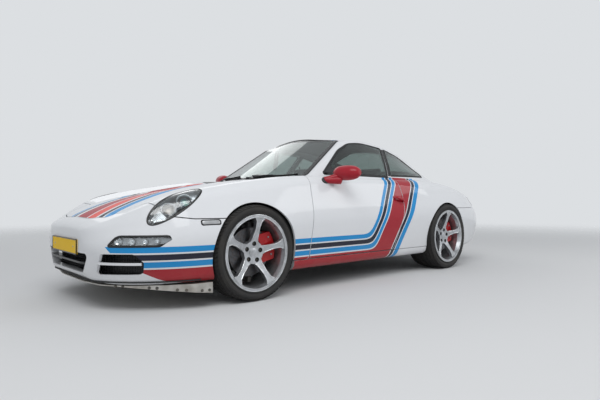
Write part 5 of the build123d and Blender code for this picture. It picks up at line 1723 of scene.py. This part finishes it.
class COUPE_OT_seats(bpy.types.Operator):
    """Padded bucket seats in front and a padded bench shape behind, with rails and harness slots"""

    bl_idname = "coupe.seats"
    bl_label = "Seats"

    def execute(self, context):
        # The left seat, about its own middle: squab, its bolsters, back and wings as (x, z)
        squab = [(0.138, 0.262), (0.152, 0.334), (0.116, 0.35), (-0.228, 0.311), (-0.238, 0.262)]
        bolster = [
            (0.128, 0.267), (0.136, 0.372), (0.056, 0.388), (-0.186, 0.366), (-0.266, 0.298), (-0.25, 0.267)]
        back = [
            (-0.222, 0.28), (-0.202, 0.334), (-0.408, 0.898), (-0.413, 0.998), (-0.468, 0.998),
            (-0.487, 0.895), (-0.326, 0.28)]
        wing = [
            (-0.204, 0.312), (-0.126, 0.4), (-0.302, 0.79), (-0.374, 0.846), (-0.456, 0.812), (-0.324, 0.312)]
        panel = 0.118

        def squab_seams(p):
            rows = min(abs(p.x - x) for x in (0.06, -0.005, -0.07, -0.135, -0.195))
            inside = rows if abs(p.y) < panel and p.z > 0.27 else 1.0
            return min(abs(abs(p.y) - panel), abs(abs(p.y) - 0.172), inside)

        def back_seams(p):
            along = (p.z - 0.33) / 0.94 + (p.x + 0.19) * -0.34
            rows = min(abs(along - k) for k in (0.1, 0.17, 0.24, 0.31, 0.38, 0.45))
            inside = rows if abs(p.y) < panel else 1.0
            return min(
                abs(abs(p.y) - panel) if p.z < 0.86 else 1.0, abs(abs(p.y) - 0.168) if p.z < 0.84 else 1.0,
                inside)

        def squab_edge(p):
            return abs(abs(p.y) - 0.105)

        def plain_seams(p):
            return min(abs(abs(p.y) - 0.105), abs(p.z - 0.62))

        base = merged(
            [prism(squab, -0.18, 0.18), prism(bolster, 0.178, 0.232), prism(bolster, -0.232, -0.178)])
        rest = merged([prism(back, -0.16, 0.16), prism(wing, 0.156, 0.232), prism(wing, -0.232, -0.156)])
        low_back = [(-0.935, 0.446), (-0.972, 0.505), (-1.088, 0.79), (-1.148, 0.79), (-1.11, 0.446)]
        low_squab = [(-0.918, 0.44), (-0.7, 0.44), (-0.7, 0.492), (-0.918, 0.492)]
        covers = {
            "squab": (puffed("squab", base, squab_seams), 0.37),
            "backrest": (puffed("backrest", rest, back_seams), 0.37),
            "rear_squab": (puffed("rear_squab", prism(low_squab, -0.155, 0.155), squab_edge, 0.007), 0.296),
            "rear_backrest": (
                puffed("rear_backrest", prism(low_back, -0.155, 0.155), plain_seams, 0.008), 0.296)}
        for key, (mesh, across) in covers.items():
            for name, side in SIDES:
                cover = finished(
                    f"{key}_{name}", shifted(mesh, side, across, f"{key}_{name}"), "cloth", "body",
                    180)
                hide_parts("seats")
        rails, slots = [], []
        for middle in (0.37, -0.37):
            for y in (-0.165, 0.165):
                rails.append(rounded_box(
                    (0.276, 0.03, 0.058), 0.004, Matrix.Translation((-0.04, middle + y, 0.229)), 2))
            for y in (-0.075, 0.075):
                rim = [(x, middle + y + z, 0.0) for x, z in rounded_outline(0.017, 0.036, 0.016, 5)]
                lean = Matrix.Rotation(radians(-70), 4, "Y")
                path = [
                    Vector((-0.4, 0, 0.862)) + lean @ Vector((x, 0, 0)) + Vector((0, y2, 0))
                    for x, y2, _ in rim]
                slots.append(sweep(path, ring(0.0045, 8), True, [(0.94, 0, 0.34)] * len(path)))
        frame_piece = new_piece("seat_rails", merged(rails), "under", "body")
        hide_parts("seats")
        new_piece("harness_slots", merged(slots), "gloss_black", "body", 50)
        return {"FINISHED"}


class COUPE_OT_cabin(bpy.types.Operator):
    """Dials, vents, switches, steering wheel pad and stitches, levers, pedals and the inner mirror"""

    bl_idname = "coupe.cabin"
    bl_label = "Cabin details"

    def execute(self, context):
        lean = radians(22)
        axis = Vector((-cos(lean), 0, sin(lean)))
        centre = Vector((0.262, -0.37, 0.772))
        wheel = frame_at(centre, (0, 1, 0), axis)
        to_axis = wheel @ Matrix.Rotation(radians(-90), 4, "X")
        thread = rounded_box(
            (0.0011, 0.0062, 0.0011), 0.0004,
            Matrix.Translation((0.1615, 0, 0)) @ Matrix.Rotation(radians(30), 4, "X"), 1)
        repeated(
            "rim_stitches", thread, ring_tree(), "red_thread", "steering_wheel", "interior_trim", 40, to_axis,
            Count=132)
        pad = [
            (0.0001, 0.02), (0.024, 0.0195), (0.044, 0.0165), (0.051, 0.011), (0.052, 0.002), (0.0001, 0.002)]
        new_piece(
            "horn_pad", turned(lathe(pad, (0, 0, 0.012), 64, "Z", False), wheel), "vinyl", "steering_wheel")
        ring_line = [(0.056, 0.003), (0.056, 0.0145), (0.06, 0.0145), (0.061, 0.003)]
        new_piece(
            "pad_ring", turned(lathe(ring_line, (0, 0, 0.006), 64, "Z"), wheel), "polished", "steering_wheel")
        # Five round dials on the sloping face, each a bezel, a dark face, a scale and a needle
        skin = skin_of("dashboard")
        bezels, faces, scales, needles = [], [], [], []
        for y, radius in ((-0.37, 0.047), (-0.272, 0.04), (-0.468, 0.04), (-0.19, 0.033), (-0.55, 0.033)):
            at, normal = landed(skin, (0.36, y, 0.752), (1, 0, -0.2))
            local = frame_at(at, (0, 1, 0), normal)
            bezel = [
                (radius, 0.0), (radius + 0.003, 0.004), (radius + 0.001, 0.0075), (radius - 0.002, 0.007),
                (radius - 0.003, 0.001)]
            bezels.append(turned(lathe(bezel, (0, 0, 0), 48, "Z"), local))
            edge = radius - 0.001
            disc = [(0.0001, 0.0012), (edge, 0.0012), (edge, -0.002), (0.0001, -0.002)]
            faces.append(spun(disc, local, 48))
            for i in range(23):
                a = radians(-40 + 260 * i / 22)
                long = 0.0085 if i % 2 == 0 else 0.005
                spot = Matrix.Rotation(a, 4, "Z") @ Matrix.Translation((radius - 0.008 - long / 2, 0, 0.0016))
                scales.append(rounded_box((long, 0.0012, 0.0008), 0.0002, local @ spot, 1))
            spot = Matrix.Rotation(radians(200), 4, "Z") @ Matrix.Translation((radius * 0.3, 0, 0.0034))
            needles.append(rounded_box((radius * 0.85, 0.0016, 0.001), 0.0003, local @ spot, 1))
            hub = [(0.0001, 0.006), (0.004, 0.0055), (0.005, 0.002), (0.0001, 0.002)]
            scales.append(spun(hub, local, 20))
        new_piece("dial_bezels", merged(bezels), "gloss_black", "body")
        new_piece("dial_faces", merged(faces), "plastic", "body")
        new_piece("dial_scales", merged(scales), "white", "body", 30)
        new_piece("dial_needles", merged(needles), "red", "body", 30)
        # Vents with blades, and a column of knobs, in the middle and on the other side
        vents, blades, knobs = [], [], []
        for y in (0.03, 0.15, 0.56):
            at, normal = landed(skin, (0.36, y, 0.752), (1, 0, -0.2))
            local = frame_at(at, (0, 1, 0), normal)
            path = [local @ Vector((x, z, 0.002)) for x, z in rounded_outline(0.05, 0.026, 0.008, 4)]
            lip = [(-0.003, -0.002), (-0.003, 0.003), (0.002, 0.004), (0.003, -0.002)]
            vents.append(sweep(path, lip, True, [normal] * len(path)))
            for k in range(5):
                blades.append(rounded_box(
                    (0.092, 0.0016, 0.006), 0.0004,
                    local @ Matrix.Translation((0, -0.018 + 0.009 * k, 0.001)), 1))
        for k, y in enumerate((0.035, 0.09, 0.145)):
            at, normal = landed(skin, (0.3, y, 0.655), (1, 0, 0.1))
            local = frame_at(at, (0, 1, 0), normal)
            knob = [
                (0.0001, 0.016), (0.013, 0.0155), (0.0155, 0.013), (0.0165, 0.0), (0.02, -0.001),
                (0.0001, -0.002)]
            knobs.append(spun(knob, local, 32))
        new_piece("dash_vents", merged(vents + blades), "gloss_black", "body")
        new_piece("dash_knobs", merged(knobs), "plastic", "body")
        # Gear lever: pleated boot, shaft and knob. Handbrake beside it.
        boot = [
            (0.052, 0.0), (0.05, 0.01), (0.041, 0.016), (0.043, 0.022), (0.034, 0.03), (0.036, 0.037),
            (0.026, 0.046), (0.027, 0.053), (0.016, 0.063), (0.009, 0.072), (0.0001, 0.073)]
        tilt = frame_at((0.15, 0.0, 0.418), (0, 1, 0), (-0.16, 0, 1))
        new_piece("gear_boot", spun(boot, tilt, 40), "leather", "body", 60)
        shaft = [(0.0001, 0.06), (0.006, 0.06), (0.0055, 0.15), (0.0001, 0.15)]
        new_piece("gear_shaft", spun(shaft, tilt, 20), "polished", "body")
        knob = [
            (0.0001, 0.14), (0.011, 0.14), (0.017, 0.152), (0.0235, 0.17), (0.0245, 0.184), (0.021, 0.197),
            (0.013, 0.205), (0.0001, 0.208)]
        new_piece("gear_knob", spun(knob, tilt, 36), "leather", "body", 60)
        run = [
            Vector((-0.17, -0.045, 0.425)), Vector((-0.12, -0.045, 0.44)), Vector((-0.06, -0.045, 0.468)),
            Vector((0.0, -0.045, 0.5))]
        new_piece("handbrake_grip", sweep(run, ring(0.015, 18, 0.8)), "leather", "body", 60)
        tip = [(0.0001, 0.02), (0.006, 0.02), (0.008, 0.018), (0.008, 0.0), (0.0001, 0.0)]
        new_piece(
            "handbrake_button",
            turned(
                lathe(tip, (0, 0, 0), 20, "Z", False),
                frame_at((0.0, -0.045, 0.5), (0, 1, 0), (0.06, 0, 0.032))),
            "polished", "body")
        # Three drilled pedals hung from the bulkhead, right-hand drive
        pads, arms = [], []
        for y, wide in ((-0.265, 0.055), (-0.37, 0.07), (-0.475, 0.07)):
            face = frame_at((0.61, y, 0.35), (0, 1, 0), (-0.8, 0, 0.6))
            pads.append(rounded_box((wide, 0.085, 0.008), 0.003, face, 2))
            for k in range(4):
                stud = [(0.0001, 0.0065), (0.0035, 0.006), (0.0045, 0.003), (0.0001, 0.003)]
                for x in (-wide * 0.25, wide * 0.25):
                    pads.append(turned(lathe(stud, (x, -0.027 + 0.018 * k, 0), 12, "Z", False), face))
            arms.append(sweep(
                [Vector((0.62, y, 0.352)), Vector((0.664, y, 0.45)), Vector((0.744, y, 0.575))],
                ring(0.008, 12)))
        new_piece("pedal_pads", merged(pads), "cast", "body")
        new_piece("pedal_arms", merged(arms), "under", "body")
        # The inner mirror hangs from the top of the windscreen
        glass = skin_of("windscreen")
        at, normal = landed(glass, (0.115, 0, 1.0), (0, 0, 1))
        stem = [at + Vector((0, 0, -0.001)), at + Vector((-0.012, 0, -0.022)), at + Vector((-0.03, 0, -0.04))]
        housing = rounded_box(
            (0.03, 0.23, 0.06), 0.014, Matrix.Translation(stem[2] + Vector((-0.006, 0, -0.012))), 4)
        new_piece(
            "inner_mirror", merged([sweep(stem, ring(0.006, 14)), housing]), "plastic", "body")
        return {"FINISHED"}


class COUPE_OT_linings(bpy.types.Operator):
    """Door cards with armrests, pulls and levers, and the lining of the roof"""

    bl_idname = "coupe.linings"
    bl_label = "Door cards and roof lining"

    def execute(self, context):
        left = skin_of("door_left")

        def inside(x, z, lift=0.0):
            """A point on the inner face of the left door, and the way into the cabin there."""
            hit, normal, _, _ = left.ray_cast(Vector((x, 0.2, z)), Vector((0, 1, 0)), 1.0)
            if hit is None:
                return Vector((x, 0.8, z)), Vector((0, -1, 0))
            if normal.y > 0:
                normal = -normal
            return hit + normal * lift, normal

        # Columns: the card's lower and upper edge, front to rear
        low = [(x, 0.5, z) for x, z in ((0.66, 0.33), (0.4, 0.305), (0.0, 0.305), (-0.15, 0.33))]
        high = [(x, 0.5, z) for x, z in ((0.66, 0.8), (0.4, 0.845), (0.0, 0.85), (-0.28, 0.845))]
        card = sheet_on(left, (0, 1, 0), grid_between(low, high, 26, 16), 0.006)
        pair("door_card", card, "vinyl", "door_*")
        # The armrest is a padded ledge that swells towards the rear, with a pull on top
        path, ups = [], []
        for i in range(21):
            at, normal = inside(0.46 - 0.56 * i / 20, 0.585 - 0.02 * i / 20, 0.016)
            path.append(at)
            ups.append((0, 0, 1))
        rest = sweep(path, oval(0.026, 0.021, 18), False, ups)
        pair("armrest", rest, "leather", "door_*", 60)
        pull = []
        for i in range(17):
            t = i / 16
            at, normal = inside(0.36 - 0.2 * t, 0.69, 0.008 + 0.03 * (1 - (2 * t - 1) ** 4))
            pull.append(at)
        pair("door_pull", sweep(pull, ring(0.008, 14)), "gloss_black", "door_*", 60)
        at, normal = inside(0.44, 0.715, 0.006)
        frame = frame_at(at, (-1, 0, 0), normal)
        cup = [
            (0.0001, 0.002), (0.024, 0.0022), (0.028, 0.0034), (0.031, 0.002), (0.032, -0.002),
            (0.0001, -0.002)]
        pair("lever_cup", spun(cup, frame, 40), "plastic", "door_*", 50)
        blade = rounded_box((0.05, 0.014, 0.006), 0.0025, frame @ Matrix.Translation((0.004, 0, 0.006)), 3)
        pair("door_lever", blade, "polished", "door_*", 50)
        # A round loudspeaker grille low at the front
        at, normal = inside(0.52, 0.43, 0.006)
        frame = frame_at(at, (1, 0, 0), normal)
        rings = []
        for radius in (0.014, 0.026, 0.038, 0.05, 0.062):
            bead = [(radius, 0.0), (radius + 0.003, 0.003), (radius + 0.006, 0.003), (radius + 0.008, 0.0)]
            rings.append(turned(lathe(bead, (0, 0, 0), 48, "Z"), frame))
        pair("speaker", merged(rings), "plastic", "door_*", 50)
        roof = skin_of("roof")
        front = [(0.095, y, 1.0) for y in (-0.44, -0.2, 0.0, 0.2, 0.44)]
        rear = [(-0.665, y, 1.0) for y in (-0.4, -0.2, 0.0, 0.2, 0.4)]
        lining = sheet_on(roof, (0, 0, 1), grid_between(front, rear, 30, 20), 0.004)
        new_piece("roof_lining", lining, "lining", "body", 60)
        return {"FINISHED"}


CLASSES = (
    CoupeColours, CoupeSizes, CoupeStage, COUPE_OT_stage, COUPE_OT_panels, COUPE_OT_tyres, COUPE_OT_wheels,
    COUPE_OT_brakes, COUPE_OT_seals, COUPE_OT_headlamps, COUPE_OT_front_lamps, COUPE_OT_tail_lamps,
    COUPE_OT_nose, COUPE_OT_skid_trim, COUPE_OT_slats, COUPE_OT_handles, COUPE_OT_mirrors, COUPE_OT_wipers,
    COUPE_OT_tail, COUPE_OT_seats, COUPE_OT_cabin, COUPE_OT_linings)


class COUPE_PT_panel(bpy.types.Panel):
    """The coupe's pieces, each with its own button"""

    bl_idname = "COUPE_PT_panel"
    bl_label = "Rally Coupe"
    bl_space_type = "VIEW_3D"
    bl_region_type = "UI"
    bl_category = "Rally Coupe"

    def draw(self, context):
        column = self.layout.column()
        for operator in CLASSES[3:]:
            column.operator(operator.bl_idname)
        for group in (context.scene.coupe_colours, context.scene.coupe_sizes, context.scene.coupe_stage):
            for name in group.bl_rna.properties.keys():
                if name not in ("rna_type", "name"):
                    column.prop(group, name)


def register():
    for cls in CLASSES + (COUPE_PT_panel,):
        bpy.utils.register_class(cls)
    bpy.types.Scene.coupe_colours = bpy.props.PointerProperty(type=CoupeColours)
    bpy.types.Scene.coupe_sizes = bpy.props.PointerProperty(type=CoupeSizes)
    bpy.types.Scene.coupe_stage = bpy.props.PointerProperty(type=CoupeStage)


def unregister():
    del bpy.types.Scene.coupe_colours, bpy.types.Scene.coupe_sizes, bpy.types.Scene.coupe_stage
    for cls in reversed(CLASSES + (COUPE_PT_panel,)):
        bpy.utils.unregister_class(cls)


def main():
    register()
    for operator in CLASSES[3:]:
        group, name = operator.bl_idname.split(".")
        getattr(getattr(bpy.ops, group), name)()


if __name__ == "__main__":
    main()
